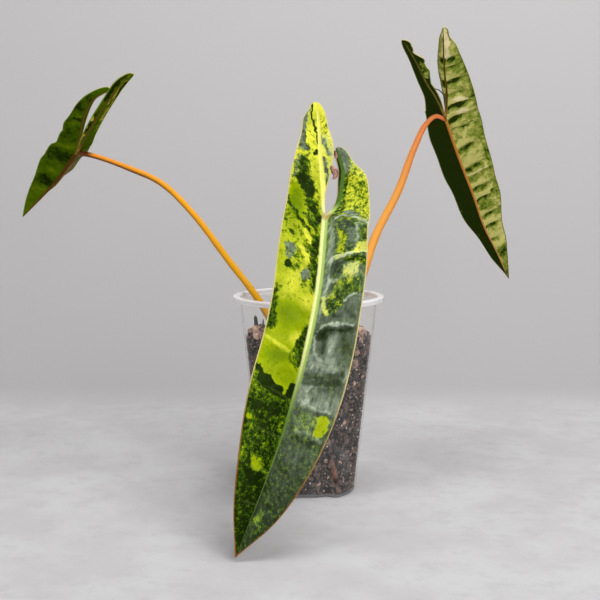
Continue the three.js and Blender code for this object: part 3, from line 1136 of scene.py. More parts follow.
@dataclass
class Leaf:
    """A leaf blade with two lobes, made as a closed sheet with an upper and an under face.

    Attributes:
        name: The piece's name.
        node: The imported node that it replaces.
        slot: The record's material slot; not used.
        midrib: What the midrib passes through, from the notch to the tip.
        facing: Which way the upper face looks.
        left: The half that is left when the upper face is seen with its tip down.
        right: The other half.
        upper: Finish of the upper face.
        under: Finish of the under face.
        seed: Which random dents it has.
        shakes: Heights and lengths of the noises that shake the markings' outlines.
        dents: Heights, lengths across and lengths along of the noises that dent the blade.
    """

    name: str
    node: str
    slot: str
    midrib: tuple[Point, ...]
    facing: Facing
    left: HalfBlade
    right: HalfBlade
    upper: BladeFinish
    under: BladeFinish
    seed: int
    rows: int = 350
    columns: int = 46
    inner_columns: int = 14
    midrib_rows: int = 22
    lobe_rows: int = 9
    row_span: int = 3
    arch: float = 0.06
    wave_height: float = 1.2
    waves: int = 4
    thickness: float = 0.9
    margin_thickness: float = 0.6
    rib_width: float = 2.7
    rib_rise: float = 1.2
    rib_drop: float = 2.2
    rib_drop_width: float = 2.6
    vein_width: float = 0.7
    shakes: Line = ((1.1, 5), (0.6, 2.2))
    dents: tuple[Point, ...] = ((1.0, 9, 7), (0.6, 4, 4))
    dent_height: float = 0.35

    # A lobe's length beside the midrib's; the width below which the blade lies flat; the last
    # stretch, which ends in a point; how columns crowd at rib and margin; what tells the halves apart
    LOBE_SHARE = 0.42
    FLAT_BELOW_WIDTH = 12
    POINTED_END = 0.004
    COLUMN_CROWDING = 0.55
    HALF_SIGN = 50.0

    def _routes(self, half: HalfBlade) -> tuple[Route, Route]:
        """Returns the midrib and the rib of a half's lobe, both from the notch."""
        return Route(self.midrib), Route((self.midrib[0], *half.lobe))

    def _rib(self, half: HalfBlade, row: Array) -> Array:
        """Follows a half's rib from the tip, over the notch, to the lobe's end.

        Args:
            half: The half.
            row: Rows, from 0 at the tip.

        Returns:
            The rib's points.
        """
        midrib, lobe = self._routes(half)
        row = np.clip(row, 0, self.midrib_rows + self.lobe_rows)
        on_midrib = midrib.at(1 - row / self.midrib_rows)
        on_lobe = lobe.at(row / self.lobe_rows - self.midrib_rows / self.lobe_rows)
        return np.where((row < self.midrib_rows)[:, None], on_midrib, on_lobe)

    def _frame(self, half: HalfBlade, sign: int, row: Array,
               place: Array) -> tuple[Array, Array]:
        """Finds the directions of the blade at rows of its rib.

        Args:
            half: The half.
            sign: 1 for the left half, -1 for the right one.
            row: The rows.
            place: The same rows from 1 at the tip over 0 at the notch to -1 at the lobe's end.

        Returns:
            The direction away from the rib, and the one that the upper face looks in.
        """
        along = unit(self._rib(half, row - self.row_span) - self._rib(half, row + self.row_span))
        notch = np.array(self.facing.notch)
        end = np.where((place < 0)[:, None], self.facing.lobe, self.facing.tip)
        facing = unit(notch + (end - notch) * np.abs(place)[:, None])
        across = unit(np.cross(along, facing)) * sign
        upper = unit(np.cross(across, along)) * sign
        return across, upper

    def _relief(self, half: HalfBlade, spots: Spots) -> Array:
        """Finds how far the blade stands up from its plain arch.

        Args:
            half: The half.
            spots: Where to look.

        Returns:
            Heights in millimetres.
        """
        across, swept, reach = spots.side, spots.swept, spots.reach
        at = np.array([crease.along for crease in half.creases])
        number = np.interp(swept, at, np.arange(len(at)))
        bulge = np.sin(np.pi * (number - np.floor(number))) ** 0.7
        envelope = np.sin(np.pi * np.minimum(1, reach * 1.05)) ** 0.6 * smoothstep(0, 2.5, np.abs(across))
        rise = half.pillow * bulge * envelope
        for crease in half.creases:
            rise += crease.lift(swept) * smoothstep(0.02, 0.2, reach) * (1 - smoothstep(0.7, 1.0, reach))
        dents = sum(
            height * value_noise(across / breadth, swept / length, self.seed + number)
            for number, (height, breadth, length) in enumerate(self.dents)
        )
        rise += self.dent_height * dents * envelope
        along = np.where(spots.place < 0, spots.place * self.LOBE_SHARE, spots.place)
        rise += self.wave_height * reach**3 * np.sin(2 * np.pi * self.waves * along + 1)
        return rise * np.clip(spots.size / self.FLAT_BELOW_WIDTH, 0, 1)

    def _shaken(self, values: Array, spots: Spots, seed: int, noises: int = 2) -> Array:
        """Moves places by noise, so that the outlines of markings look grown.

        Args:
            values: The places.
            spots: Where they lie on the blade.
            seed: Which random draw.
            noises: How many of the noises move them.

        Returns:
            The moved places.
        """
        for number, (height, cell) in enumerate(self.shakes[:noises]):
            noise = value_noise(spots.side / cell, spots.along / cell, seed + number)
            values = values + height * noise
        return values

    def _marks(self, half: HalfBlade, spots: Spots) -> Array:
        """Lays the markings, and the painted highlight and shade beside each crease, over the ground.

        Args:
            half: The half.
            spots: Where to look.

        Returns:
            The lime share, the warmth and the dusty silvery layer with its painted sheen there.
        """
        x = self._shaken(spots.side, spots, self.seed + 2)
        y = self._shaken(spots.along, spots, self.seed + 4)
        swept = self._shaken(spots.swept, spots, self.seed + 4, 1)
        fields = {
            "bias": stops(half.ground, y),
            "warmth": stops(half.warmth, y),
            "sheen_veil": stops(half.film_and_sheen, y),
        }
        fade = 1 - smoothstep(0.35, 0.85, spots.reach)
        # Painted highlight and shade: the tissue is paler just before each crease and darker just past it,
        # fading towards the margin.
        for crease in half.creases:
            past = (swept - crease.along) / crease.width
            shading = 0.7 * hump(past + 2.1, 1.6) - 0.9 * hump(past - 0.4, 1.2)
            fields["bias"] = fields["bias"] + half.contrast * crease.height * shading * fade
        for marking in half.markings:
            weight = marking.weight(x, y)
            for field_name, target in marking.mark.value:
                fields[field_name] = fields[field_name] * (1 - weight) + target * weight
        return np.stack([0.5 + 0.5 * fields["bias"], 0.5 + 0.5 * fields["warmth"], fields["sheen_veil"]], -1)

    def _parts(self, half: HalfBlade, spots: Spots) -> Array:
        """Tells the rib, the margin and the side veins from the blade.

        Args:
            half: The half.
            spots: Where to look.

        Returns:
            How much of each of the three lies there.
        """
        place, reach = spots.place, spots.reach
        taper = np.where(place < 0, 1 + 0.6 * place, 1 - 0.75 * smoothstep(0.28, 0.9, place))
        rib_width = self.rib_width * taper
        ridge = 1 - smoothstep(0.72, 1.12, np.abs(spots.side) / rib_width)
        ridge = ridge * smoothstep(0.0, 0.12, 1 - np.abs(place))
        margin = 1 - smoothstep(0.45, 1.1, spots.size * (1 - reach))
        at = np.array([crease.along for crease in half.creases])
        gap = np.abs(spots.swept[..., None] - at).min(-1)
        vein = hump(gap, self.vein_width) * (1 - smoothstep(0.3, 0.85, reach))
        return np.stack([ridge, margin, vein], -1)

    def _widths(self, half: HalfBlade, place: Array, along: Array, inside: bool) -> tuple[Array, Array]:
        """Finds how wide the blade is at its rows, and how far it lifts there.

        Args:
            half: The half.
            place: The rows, from 1 at the tip over 0 at the notch to -1 at the lobe's end.
            along: The same rows in millimetres.
            inside: Whether this is the strip inside the lobe's rib.

        Returns:
            The widths in millimetres and the lifts in radians.
        """
        if inside:
            size = rounded(half.inner, -place)
            angle = np.full(len(place), math.radians(half.inner_fold))
        else:
            size = np.where(place < 0, rounded(half.outer, -place), profile(half.width, place))
            angle = np.radians(half.fold[0] + (half.fold[1] - half.fold[0]) * np.maximum(0, place))
        for ruffle in half.inner_ruffles if inside else half.ruffles:
            size = size + ruffle.lift(along)
        size = np.maximum(size, 0) * smoothstep(0, self.POINTED_END, 1 - np.abs(place))
        size[-1] = 0
        if not inside:
            size[0] = 0
        return size, angle

    def _strip(self, half: HalfBlade, sign: int, inside: bool) -> Shell:
        """Builds the middle surface of one half, outside or inside its lobe's rib.

        Args:
            half: The half.
            sign: 1 for the left half, -1 for the right one.
            inside: Whether this is the strip inside the lobe's rib.

        Returns:
            An open sheet with its fields.
        """
        last = self.midrib_rows + self.lobe_rows
        first = self.midrib_rows if inside else 0
        count = self.rows * self.lobe_rows // last if inside else self.rows
        row = np.linspace(first, last, count)
        steps = np.linspace(0, 1, (self.inner_columns if inside else self.columns) + 1)
        columns = steps if inside else steps - self.COLUMN_CROWDING * np.sin(2 * np.pi * steps) / (2 * np.pi)
        on_midrib, on_lobe = 1 - row / self.midrib_rows, (self.midrib_rows - row) / self.lobe_rows
        place = np.where(row < self.midrib_rows, on_midrib, on_lobe)
        rib = self._rib(half, row)
        across, upper = self._frame(half, sign, row, place)
        away = -1 if inside else 1
        midrib, lobe = self._routes(half)
        lengths = np.where(place < 0, lobe.length, midrib.length)
        along = place * lengths
        size, angle = self._widths(half, place, along, inside)
        reach, size, place, angle = (np.broadcast_to(a, (count, len(columns))) for a in (
            columns[None, :], size[:, None], place[:, None], angle[:, None]))
        along = place * lengths[:, None]
        side = -sign * away * size * reach
        sweep = stops(half.sweep, along) * (1 - np.exp(-np.abs(side) / half.sweep_reach))
        swept = along + (0 if inside else 1) * sweep
        spots = Spots(side, along, swept, reach, size, place)
        rise = size * reach * np.sin(angle) + self.arch * size * 4 * reach * (1 - reach)
        rise = rise + self._relief(half, spots)
        points = rib[:, None] + across[:, None] * (away * size * reach * np.cos(angle))[..., None]
        points = points + upper[:, None] * rise[..., None]
        fields = {
            "place": np.stack([side, swept, np.full(side.shape, self.HALF_SIGN * sign)], -1).reshape(-1, 3),
            "marks": self._marks(half, spots).reshape(-1, 3),
            "parts": self._parts(half, spots).reshape(-1, 3),
            "weight": np.where(place < 0, (1 + place) * 0.6, 1 - 0.85 * place).reshape(-1),
            "reach": (size * (1 - reach)).reshape(-1),
        }
        faces = grid_faces(count, len(columns), turned=(sign > 0) == inside)
        return Shell(points.reshape(-1, 3), faces, np.zeros(len(faces), int), fields)

    def _sheet(self) -> Shell:
        """Returns the whole middle surface, joined along its ribs."""
        strips = [
            self._strip(half, sign, inside)
            for half, sign in ((self.left, 1), (self.right, -1))
            for inside in (False, True)
        ]
        starts = np.cumsum([0] + [len(strip.points) for strip in strips])
        fields = {name: np.concatenate([strip.fields[name] for strip in strips]) for name in strips[0].fields}
        return Shell(
            np.concatenate([strip.points for strip in strips]),
            np.concatenate([strip.faces + start for strip, start in zip(strips, starts)]),
            np.concatenate([strip.slots for strip in strips]),
            fields,
        ).merged()

    def build(self) -> Piece:
        """Returns the finished blade, with both its faces and its margin closed."""
        sheet = self._sheet()
        normals = sheet.normals()
        side = np.abs(sheet.fields["place"][:, 0])
        weight = sheet.fields["weight"]
        thin = smoothstep(0, 3, sheet.fields["reach"])
        half = (self.margin_thickness + (self.thickness - self.margin_thickness) * thin) / 2
        crown = self.rib_rise * weight * hump(side, 0.75 * self.rib_width)
        keel = self.rib_drop * weight * hump(side, self.rib_drop_width)
        upper = sheet.points + normals * (half + crown)[:, None]
        under = sheet.points - normals * (half + keel)[:, None]
        count = len(sheet.points)
        rim = sheet.rim()
        a, b = rim.T
        walls = np.concatenate([np.stack([a, a + count, b + count], -1), np.stack([a, b + count, b], -1)])
        faces = np.concatenate([sheet.faces, sheet.faces[:, ::-1] + count, walls])
        slots = np.concatenate([np.zeros(len(sheet.faces)), np.ones(len(sheet.faces)), np.zeros(len(walls))])
        fields = {name: np.concatenate([sheet.fields[name]] * 2) for name in ("place", "marks", "parts")}
        shell = Shell(np.concatenate([upper, under]), faces, slots, fields)
        piece = shell.piece(self.name, [self.upper.material(), self.under.material()])
        hand_over(piece, self.node)
        return piece


# Geometry Nodes


class Recipe(NodeTree):
    """A Geometry Nodes tree with named inputs, run once on a carrier mesh."""

    SOCKETS = {float: "NodeSocketFloat", int: "NodeSocketInt", Material: "NodeSocketMaterial"}

    def __init__(self, name: str) -> None:
        """Starts a tree that takes and gives one geometry.

        Args:
            name: The tree's name.
        """
        super().__init__(bpy.data.node_groups.new(name, "GeometryNodeTree"))
        self.tree.interface.new_socket("Geometry", in_out="INPUT", socket_type="NodeSocketGeometry")
        self.tree.interface.new_socket("Geometry", in_out="OUTPUT", socket_type="NodeSocketGeometry")
        self.entry = self.tree.nodes.new("NodeGroupInput")
        self.exit = self.tree.nodes.new("NodeGroupOutput")
        self.names: dict[str, str] = {}

    def given(self, name: str, kind: type) -> Output:
        """Adds a named input.

        Args:
            name: Its name.
            kind: Its kind of value.

        Returns:
            Its socket.
        """
        made = self.tree.interface.new_socket(name, in_out="INPUT", socket_type=self.SOCKETS[kind])
        self.names[name] = made.identifier
        return self.entry.outputs[name]

    def finish(self, geometry: Output, finish: Output) -> None:
        """Gives the geometry its material and makes it the tree's result."""
        dressed = self.node("GeometryNodeSetMaterial", {0: geometry, "Material": finish})
        self.tree.links.new(dressed, self.exit.inputs[0])

    def run(self, name: str, carrier: Piece, values: Values) -> Piece:
        """Runs the tree and keeps its result as a plain mesh.

        Args:
            name: The new piece's name.
            carrier: The object whose mesh the tree starts from, which is then removed.
            values: A value for each named input.

        Returns:
            The linked piece.
        """
        modifier = carrier.modifiers.new(self.tree.name, "NODES")
        modifier.node_group = self.tree
        for key, value in values.items():
            modifier[self.names[key]] = value
        mesh = settled(carrier)
        mesh.name = name
        carrier.modifiers.remove(modifier)
        bpy.data.objects.remove(carrier)
        return linked(name, mesh)


def tube_recipe() -> Recipe:
    """Returns a tree that skins a line of points, each with its radius, with a closed round tube."""
    recipe = Recipe("round_stalk")
    sides = recipe.given("Sides", int)
    finish = recipe.given("Finish", Material)
    line = recipe.node("GeometryNodeMeshToCurve", {0: recipe.entry.outputs[0]})
    radius = recipe.node("GeometryNodeInputNamedAttribute", {"Name": "radius"}, data_type="FLOAT")
    ring = recipe.node("GeometryNodeCurvePrimitiveCircle", {"Resolution": sides, "Radius": 1.0})
    inputs = {0: line, 1: ring, "Scale": radius, "Fill Caps": True}
    skin = recipe.node("GeometryNodeCurveToMesh", inputs)
    recipe.finish(recipe.node("GeometryNodeRealizeInstances", {0: skin}), finish)
    return recipe


def scatter_recipe() -> Recipe:
    """Returns a tree that covers a surface with irregular bits of random size, turn and tint."""
    recipe = Recipe("loose_bits")
    names = ("Density", "Spacing", "Smallest", "Largest", "Flatness", "Lumps")
    density, spacing, smallest, largest, flatness, lumps = (recipe.given(name, float) for name in names)
    roundness, seed = (recipe.given(name, int) for name in ("Roundness", "Seed"))
    finish = recipe.given("Finish", Material)
    inputs = {"Mesh": recipe.entry.outputs[0], "Distance Min": spacing, "Density Max": density, "Seed": seed}
    kind = "GeometryNodeDistributePointsOnFaces"
    spread = recipe.node(kind, inputs, "Points", distribute_method="POISSON")
    tint = recipe.node("FunctionNodeRandomValue", {"Seed": seed}, 1, data_type="FLOAT")
    inputs = {"Geometry": spread, "Name": "bit", "Value": tint}
    tinted = recipe.node("GeometryNodeStoreNamedAttribute", inputs, data_type="FLOAT", domain="POINT")
    bit = recipe.node("GeometryNodeMeshIcoSphere", {"Radius": 0.5, "Subdivisions": roundness})
    inputs = {0: (0.0,) * 3, 1: (math.tau,) * 3, "Seed": seed}
    turn = recipe.node("FunctionNodeRandomValue", inputs, data_type="FLOAT_VECTOR")
    inputs = {2: smallest, 3: largest, "Seed": seed}
    size = recipe.node("FunctionNodeRandomValue", inputs, 1, data_type="FLOAT")
    shape = recipe.node("ShaderNodeCombineXYZ", {0: 1.0, 1: BIT_BREADTH, 2: flatness})
    scale = recipe.node("ShaderNodeVectorMath", {0: shape, "Scale": size}, operation="SCALE")
    inputs = {"Points": tinted, "Instance": bit, "Rotation": turn, "Scale": scale}
    placed = recipe.node("GeometryNodeInstanceOnPoints", inputs)
    joined = recipe.node("GeometryNodeRealizeInstances", {0: placed})
    rough = recipe.node("ShaderNodeTexNoise", {"Scale": LUMPS_PER_METRE, "Detail": 2.0}, "Color")
    centred = recipe.node("ShaderNodeVectorMath", {0: rough, 1: (0.5,) * 3}, operation="SUBTRACT")
    push = recipe.node("ShaderNodeVectorMath", {0: centred, "Scale": lumps}, operation="SCALE")
    lumpy = recipe.node("GeometryNodeSetPosition", {"Geometry": joined, "Offset": push})
    recipe.finish(lumpy, finish)
    return recipe


# Stalks, stem and stubs


@dataclass
class Stalk:
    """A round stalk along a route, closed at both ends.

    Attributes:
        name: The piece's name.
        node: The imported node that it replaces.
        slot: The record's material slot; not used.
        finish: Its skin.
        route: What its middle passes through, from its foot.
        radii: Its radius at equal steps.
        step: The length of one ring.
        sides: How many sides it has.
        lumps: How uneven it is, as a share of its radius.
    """

    name: str
    node: str
    slot: str
    finish: StalkFinish | BarkFinish
    route: tuple[Point, ...]
    radii: Row
    step: float = 1.5
    sides: int = 28
    lumps: float = 0.04

    LUMP_LENGTH = 9
    LUMP_SEED = 3
    CAP_BLUNTNESS = 1.6
    CAP_LEAST = 0.05

    def build(self, recipe: Recipe) -> Piece:
        """Skins the route.

        Args:
            recipe: The tree that skins it.

        Returns:
            The finished stalk.
        """
        curve = Route(self.route)
        count = max(6, int(curve.length / self.step))
        share = np.linspace(0, 1, count)
        radius = profile(self.radii, share)
        noise = value_noise(share * curve.length / self.LUMP_LENGTH, share * 0, self.LUMP_SEED)
        radius *= 1 + self.lumps * noise
        cap = np.minimum(share, 1 - share) * curve.length / np.maximum(radius, 0.1)
        slope = 1 - np.clip(cap * self.CAP_BLUNTNESS, 0, 1)
        radius *= np.sqrt(np.clip(1 - slope**2, self.CAP_LEAST, 1))
        mesh = bpy.data.meshes.new(self.name + "_line")
        points = curve.at(share) * MM
        mesh.from_pydata(points.tolist(), [(i, i + 1) for i in range(count - 1)], [])
        for field_name, values in (("radius", radius * MM), ("along", share), ("bit", share * 0 + 0.5)):
            give_field(mesh, field_name, values)
        carrier = linked(self.name + "_line", mesh)
        material = self.finish.material()
        piece = recipe.run(self.name, carrier, {"Sides": self.sides, "Finish": material})
        piece.data.polygons.foreach_set("use_smooth", np.ones(len(piece.data.polygons), bool))
        normals = np.zeros(len(piece.data.vertices) * 3, np.float32)
        piece.data.vertex_normals.foreach_get("vector", normals)
        # How far each point faces down, for the finish's painted shade on the lower side.
        give_field(piece.data, "below", -normals[2::3])
        hand_over(piece, self.node)
        return piece


# Pot and bark mix


@dataclass
class Cup:
    """The tapered cup that the pot and its filling share, with flutes pressed into its foot."""

    height: float = 158.0
    top_radius: float = 55.0
    foot_radius: float = 38.0
    flutes: int = 3
    flute_depth: float = 8.0
    flute_height: float = 74.0
    flute_azimuth: float = -83.0

    def wall_radius(self, z: Array) -> Array:
        """Returns the wall's outer radius at these heights, before the flutes."""
        return self.foot_radius + (self.top_radius - self.foot_radius) * z / self.height

    def squeeze(self, angle: Array, z: Array) -> Array:
        """Presses the flutes in.

        Args:
            angle: Angles round the Z axis.
            z: Heights.

        Returns:
            What they leave of the radius, as a share.
        """
        fade = np.clip(1 - z / self.flute_height, 0, 1) ** 1.2
        turn = np.cos(self.flutes * (angle - math.radians(self.flute_azimuth)))
        return 1 - self.flute_depth / self.wall_radius(z) * fade * smoothstep(-0.1, 0.45, turn)

    def lathe(self, outline: Array, sides: int) -> Shell:
        """Turns an outline round the Z axis and presses the flutes in.

        Args:
            outline: Rows of radius and height.
            sides: How many sides it has.

        Returns:
            The turned shell.
        """
        ring = np.linspace(0, math.tau, sides, endpoint=False)
        radius, z = outline[:, :1], np.repeat(outline[:, 1:], sides, axis=1)
        angle = np.repeat(ring[None, :], len(outline), axis=0)
        radius = radius * self.squeeze(angle, z)
        points = np.stack([radius * np.cos(angle), radius * np.sin(angle), z], -1).reshape(-1, 3)
        faces = grid_faces(len(outline), sides, turned=True, closed=True)
        return Shell(points, faces, np.zeros(len(faces), int), {}).merged()


def arc(centre: Place, radius: float, start: float, end: float, count: int) -> list[Place]:
    """Returns points of an arc in an outline, with its angles in degrees."""
    angles = np.radians(np.linspace(start, end, count))
    return [(centre[0] + radius * math.cos(a), centre[1] + radius * math.sin(a)) for a in angles]


@dataclass
class ClearPot:
    """The clear nursery pot: a fluted cup with a rolled lip and drain holes."""

    cup: Cup
    wall: float = 1.0
    floor: float = 1.6
    lip_radius: float = 60.0
    lip_height: float = 4.5
    lip_round: float = 1.1
    foot_corner: float = 3.5
    sides: int = 192
    hole_count: int = 5
    hole_radius: float = 3.5
    hole_circle: float = 21.0
    hole_azimuth: float = -47.0

    FLOOR_RINGS = (0.0, 12.0, 24.0)

    def _outline(self) -> Array:
        """Returns the wall's outline as rows of radius and height, outside first."""
        cup, under = self.cup, self.cup.height - self.lip_height
        levels = np.linspace(self.foot_corner + 2, under - 2, 44)
        corner, lip = self.foot_corner, self.lip_round
        outline = [(radius, 0.0) for radius in self.FLOOR_RINGS]
        outline += arc((cup.foot_radius - corner, corner), corner, -90, 0, 7)
        outline += [(cup.wall_radius(z), z) for z in levels]
        outline += [(cup.wall_radius(under) + 0.6, under - 0.6)]
        outline += arc((self.lip_radius - lip, under + lip), lip, -90, 0, 5)
        outline += arc((self.lip_radius - lip, cup.height - lip), lip, 0, 90, 5)
        outline += arc((cup.top_radius + 0.8, cup.height - 1.2), 1.2, 90, 180, 5)
        outline += [(cup.wall_radius(z) - self.wall, z) for z in levels[::-1]]
        outline += arc((cup.foot_radius - corner, corner + self.floor - 0.4), corner - self.wall, 0, -90, 6)
        outline += [(radius, self.floor) for radius in self.FLOOR_RINGS[::-1]]
        return np.array(outline)

    def _pierce(self, piece: Piece) -> None:
        """Cuts the drain holes.

        Args:
            piece: The pot, whose floor they go through.
        """
        rings = []
        for number in range(self.hole_count):
            angle = math.radians(self.hole_azimuth + 360 / self.hole_count * number)
            centre = (self.hole_circle * math.cos(angle) * MM, self.hole_circle * math.sin(angle) * MM, 0.0)
            bpy.ops.mesh.primitive_cylinder_add(
                vertices=32, radius=self.hole_radius * MM, depth=3 * self.floor * MM, location=centre
            )
            rings.append(bpy.context.object)
        for ring in rings:
            cut = piece.modifiers.new("hole", "BOOLEAN")
            cut.operation = "DIFFERENCE"
            cut.solver = "EXACT"
            cut.object = ring
        mesh = settled(piece)
        piece.modifiers.clear()
        piece.data = mesh
        for ring in rings:
            bpy.data.objects.remove(ring)

    def build(self) -> Piece:
        """Returns the finished pot."""
        shell = self.cup.lathe(self._outline(), self.sides)
        piece = shell.piece("clear_pot", [CLEAR_WALL.material()])
        self._pierce(piece)
        hand_over(piece, "pot")
        return piece


@dataclass(frozen=True)
class Scatter:
    """One kind of loose bit in the bark mix.

    Attributes:
        name: The piece's name.
        finish: What the bits look like.
        density: At most how many lie on a square metre.
        spacing: The least distance between them.
        size: Their smallest and largest length.
        flatness: Their height as a share of their length.
        lumps: How far their surface is pushed about.
        roundness: How finely each is made, from 1.
        depth: How far the carrying surface lies inside the wall.
        seed: Which random draw.
        on_top: Whether they lie on the bed's top and not against the wall.
        lowest: Above which height they lie.
    """

    name: str
    finish: BarkFinish
    density: float
    spacing: float
    size: Place
    flatness: float
    lumps: float
    roundness: int
    depth: float
    seed: int
    on_top: bool = False
    lowest: float = 0.0


@dataclass
class BarkMix:
    """The bark mix that fills the pot: a dark bed with loose bits pressed against the clear wall."""

    cup: Cup
    wall_gap: float = 1.25
    floor_height: float = 1.9
    edge_height: float = 126.0
    crown_height: float = 137.0
    bed_depth: float = 1.9
    bump: float = 1.6
    sides: int = 220

    SCATTERS = (
        Scatter("wall_granules", GRANULES, 60000, 2.5, (3.0, 6.5), 0.5, 2.6, 2, 1.8, 5),
        Scatter("wall_crumbs", GRANULES, 150000, 1.5, (1.2, 3.0), 0.55, 1.6, 1, 0.9, 6),
        Scatter("wall_grit", PALE_GRIT, 22000, 2.4, (0.5, 1.8), 0.75, 0.8, 1, 0.7, 7),
        Scatter("wall_chips", CHIPS, 8000, 6.0, (2.0, 5.0), 0.4, 2.4, 1, 1.2, 8),
        Scatter("wall_dry_pieces", DRY_GRANULES, 16000, 5.0, (4.0, 9.0), 0.45, 5.0, 2, 1.6, 12, False, 106.0),
        Scatter("top_granules", DRY_GRANULES, 70000, 2.8, (3.5, 8.5), 0.65, 2.8, 2, 0.0, 9, True),
        Scatter("top_chips", CHIPS, 14000, 6.0, (6.0, 13.0), 0.45, 4.0, 2, 0.0, 10, True),
        Scatter("top_grit", PALE_GRIT, 12000, 5.0, (1.0, 2.6), 0.8, 0.8, 1, 0.0, 11, True),
    )

    def top_height(self, x: Array, y: Array) -> Array:
        """Shapes the bed's top.

        Args:
            x: Places to the right.
            y: Places to the back.

        Returns:
            The top's height there.
        """
        reach = np.clip(np.hypot(x, y) / self.cup.wall_radius(self.edge_height), 0, 1)
        mound = self.crown_height + (self.edge_height - self.crown_height) * reach**1.5
        bumps = np.sin(x * 0.31 + 1) * np.cos(y * 0.27) + np.sin(x * 0.13 - y * 0.22 + 2)
        return mound + self.bump / 2 * bumps * (1 - reach**6)

    def _outline(self, depth: float) -> Array:
        """Draws the bed's outline from its foot to its rim.

        Args:
            depth: How far it lies inside the wall.

        Returns:
            Rows of radius and height.
        """
        inside = self.wall_gap + depth
        levels = np.linspace(self.floor_height + 4, self.edge_height - 1, 60)
        foot = self.cup.wall_radius(self.floor_height) - inside
        outline = [(0.0, self.floor_height), (foot * 0.5, self.floor_height), (foot - 4, self.floor_height)]
        outline += [(foot - 1.5, self.floor_height + 1.2)]
        outline += [(self.cup.wall_radius(z) - inside, z) for z in levels]
        return np.array(outline)

    def _bed(self) -> Piece:
        """Returns the dark bed that carries the loose bits."""
        outline = self._outline(self.bed_depth)
        edge = outline[-1][0]
        rim = [(edge * share, self.edge_height) for share in np.linspace(0.985, 0, 26)]
        shell = self.cup.lathe(np.vstack([outline, rim]), self.sides)
        x, y, z = shell.points.T
        top = z >= self.edge_height - 1e-6
        shell.points[top, 2] = self.top_height(x[top], y[top]) - 1.2
        angle = np.arctan2(y, x)
        push = 0.9 * value_noise(angle * 14, z / 3.5, 21) + 0.5 * value_noise(angle * 30, z / 1.7, 22)
        wall = (~top) & (z > self.floor_height + 1)
        shell.points[wall, :2] *= (1 + push[wall] / 45)[:, None]
        lift = 0.8 * value_noise(x / 4, y / 4, 23) + 0.5 * value_noise(x / 2, y / 2, 24)
        shell.points[top, 2] += lift[top] * np.clip((edge - np.hypot(x, y))[top] / 3, 0, 1)
        shell.fields["bit"] = 0.5 + 0.5 * value_noise(angle * 9, z / 5, 25)
        return shell.piece("bark_bed", [DARK_BED.material()])

    def _carrier(self, scatter: Scatter) -> Piece:
        """Makes the surface that one kind of bit is scattered on.

        Args:
            scatter: The kind of bit.

        Returns:
            The surface.
        """
        if scatter.on_top:
            edge = self.cup.wall_radius(self.edge_height) - self.wall_gap - 2.5
            outline = np.array([(edge * share, self.edge_height) for share in np.linspace(1, 0, 24)])
            shell = self.cup.lathe(outline, 96)
            shell.points[:, 2] = self.top_height(shell.points[:, 0], shell.points[:, 1]) - 0.4
        else:
            outline = self._outline(scatter.depth)[3:]
            shell = self.cup.lathe(outline[outline[:, 1] >= scatter.lowest], 144)
        return shell.piece(scatter.name + "_ground", [])

    def _press(self, piece: Piece) -> None:
        """Moves what reaches through the pot back inside its wall and floor.

        Args:
            piece: The bed or loose bits.
        """
        mesh = piece.data
        flat = np.zeros(len(mesh.vertices) * 3)
        mesh.vertices.foreach_get("co", flat)
        x, y, z = flat.reshape(-1, 3).T / MM
        angle, radius = np.arctan2(y, x), np.hypot(x, y)
        z = np.maximum(z, self.floor_height)
        most = (self.cup.wall_radius(z) - self.wall_gap) * self.cup.squeeze(angle, z)
        share = np.minimum(1, most / np.maximum(radius, 1e-6))
        mesh.vertices.foreach_set("co", (np.stack([x * share, y * share, z], -1) * MM).ravel())
        mesh.update()

    def build(self, recipe: Recipe) -> list[Piece]:
        """Builds the bed and every kind of loose bit.

        Args:
            recipe: The tree that scatters bits.

        Returns:
            The finished pieces.
        """
        pieces = [self._bed()]
        for scatter in self.SCATTERS:
            values = {
                "Density": float(scatter.density),
                "Spacing": scatter.spacing * MM,
                "Smallest": scatter.size[0] * MM,
                "Largest": scatter.size[1] * MM,
                "Flatness": scatter.flatness,
                "Lumps": scatter.lumps * MM,
                "Roundness": scatter.roundness,
                "Seed": scatter.seed,
                "Finish": scatter.finish.material(),
            }
            pieces.append(recipe.run(scatter.name, self._carrier(scatter), values))
        for piece in pieces:
            self._press(piece)
            hand_over(piece, "substrate")
        return pieces


# Studio


@dataclass(frozen=True)
class Softbox:
    """A soft rectangular light that looks at a point, in metres and watts."""

    name: str
    at: Point
    towards: Point
    size: Place
    power: float
    tint: Point = (1.0, 1.0, 1.0)

    def build(self) -> Piece:
        """Returns the light."""
        data = bpy.data.lights.new(self.name, "AREA")
        data.shape = "RECTANGLE"
        data.size, data.size_y = self.size
        data.energy = self.power
        data.color = self.tint
        light = linked(self.name, data)
        direction = Vector(self.towards) - Vector(self.at)
        light.location = self.at
        light.rotation_euler = direction.to_track_quat("-Z", "Y").to_euler()
        return light


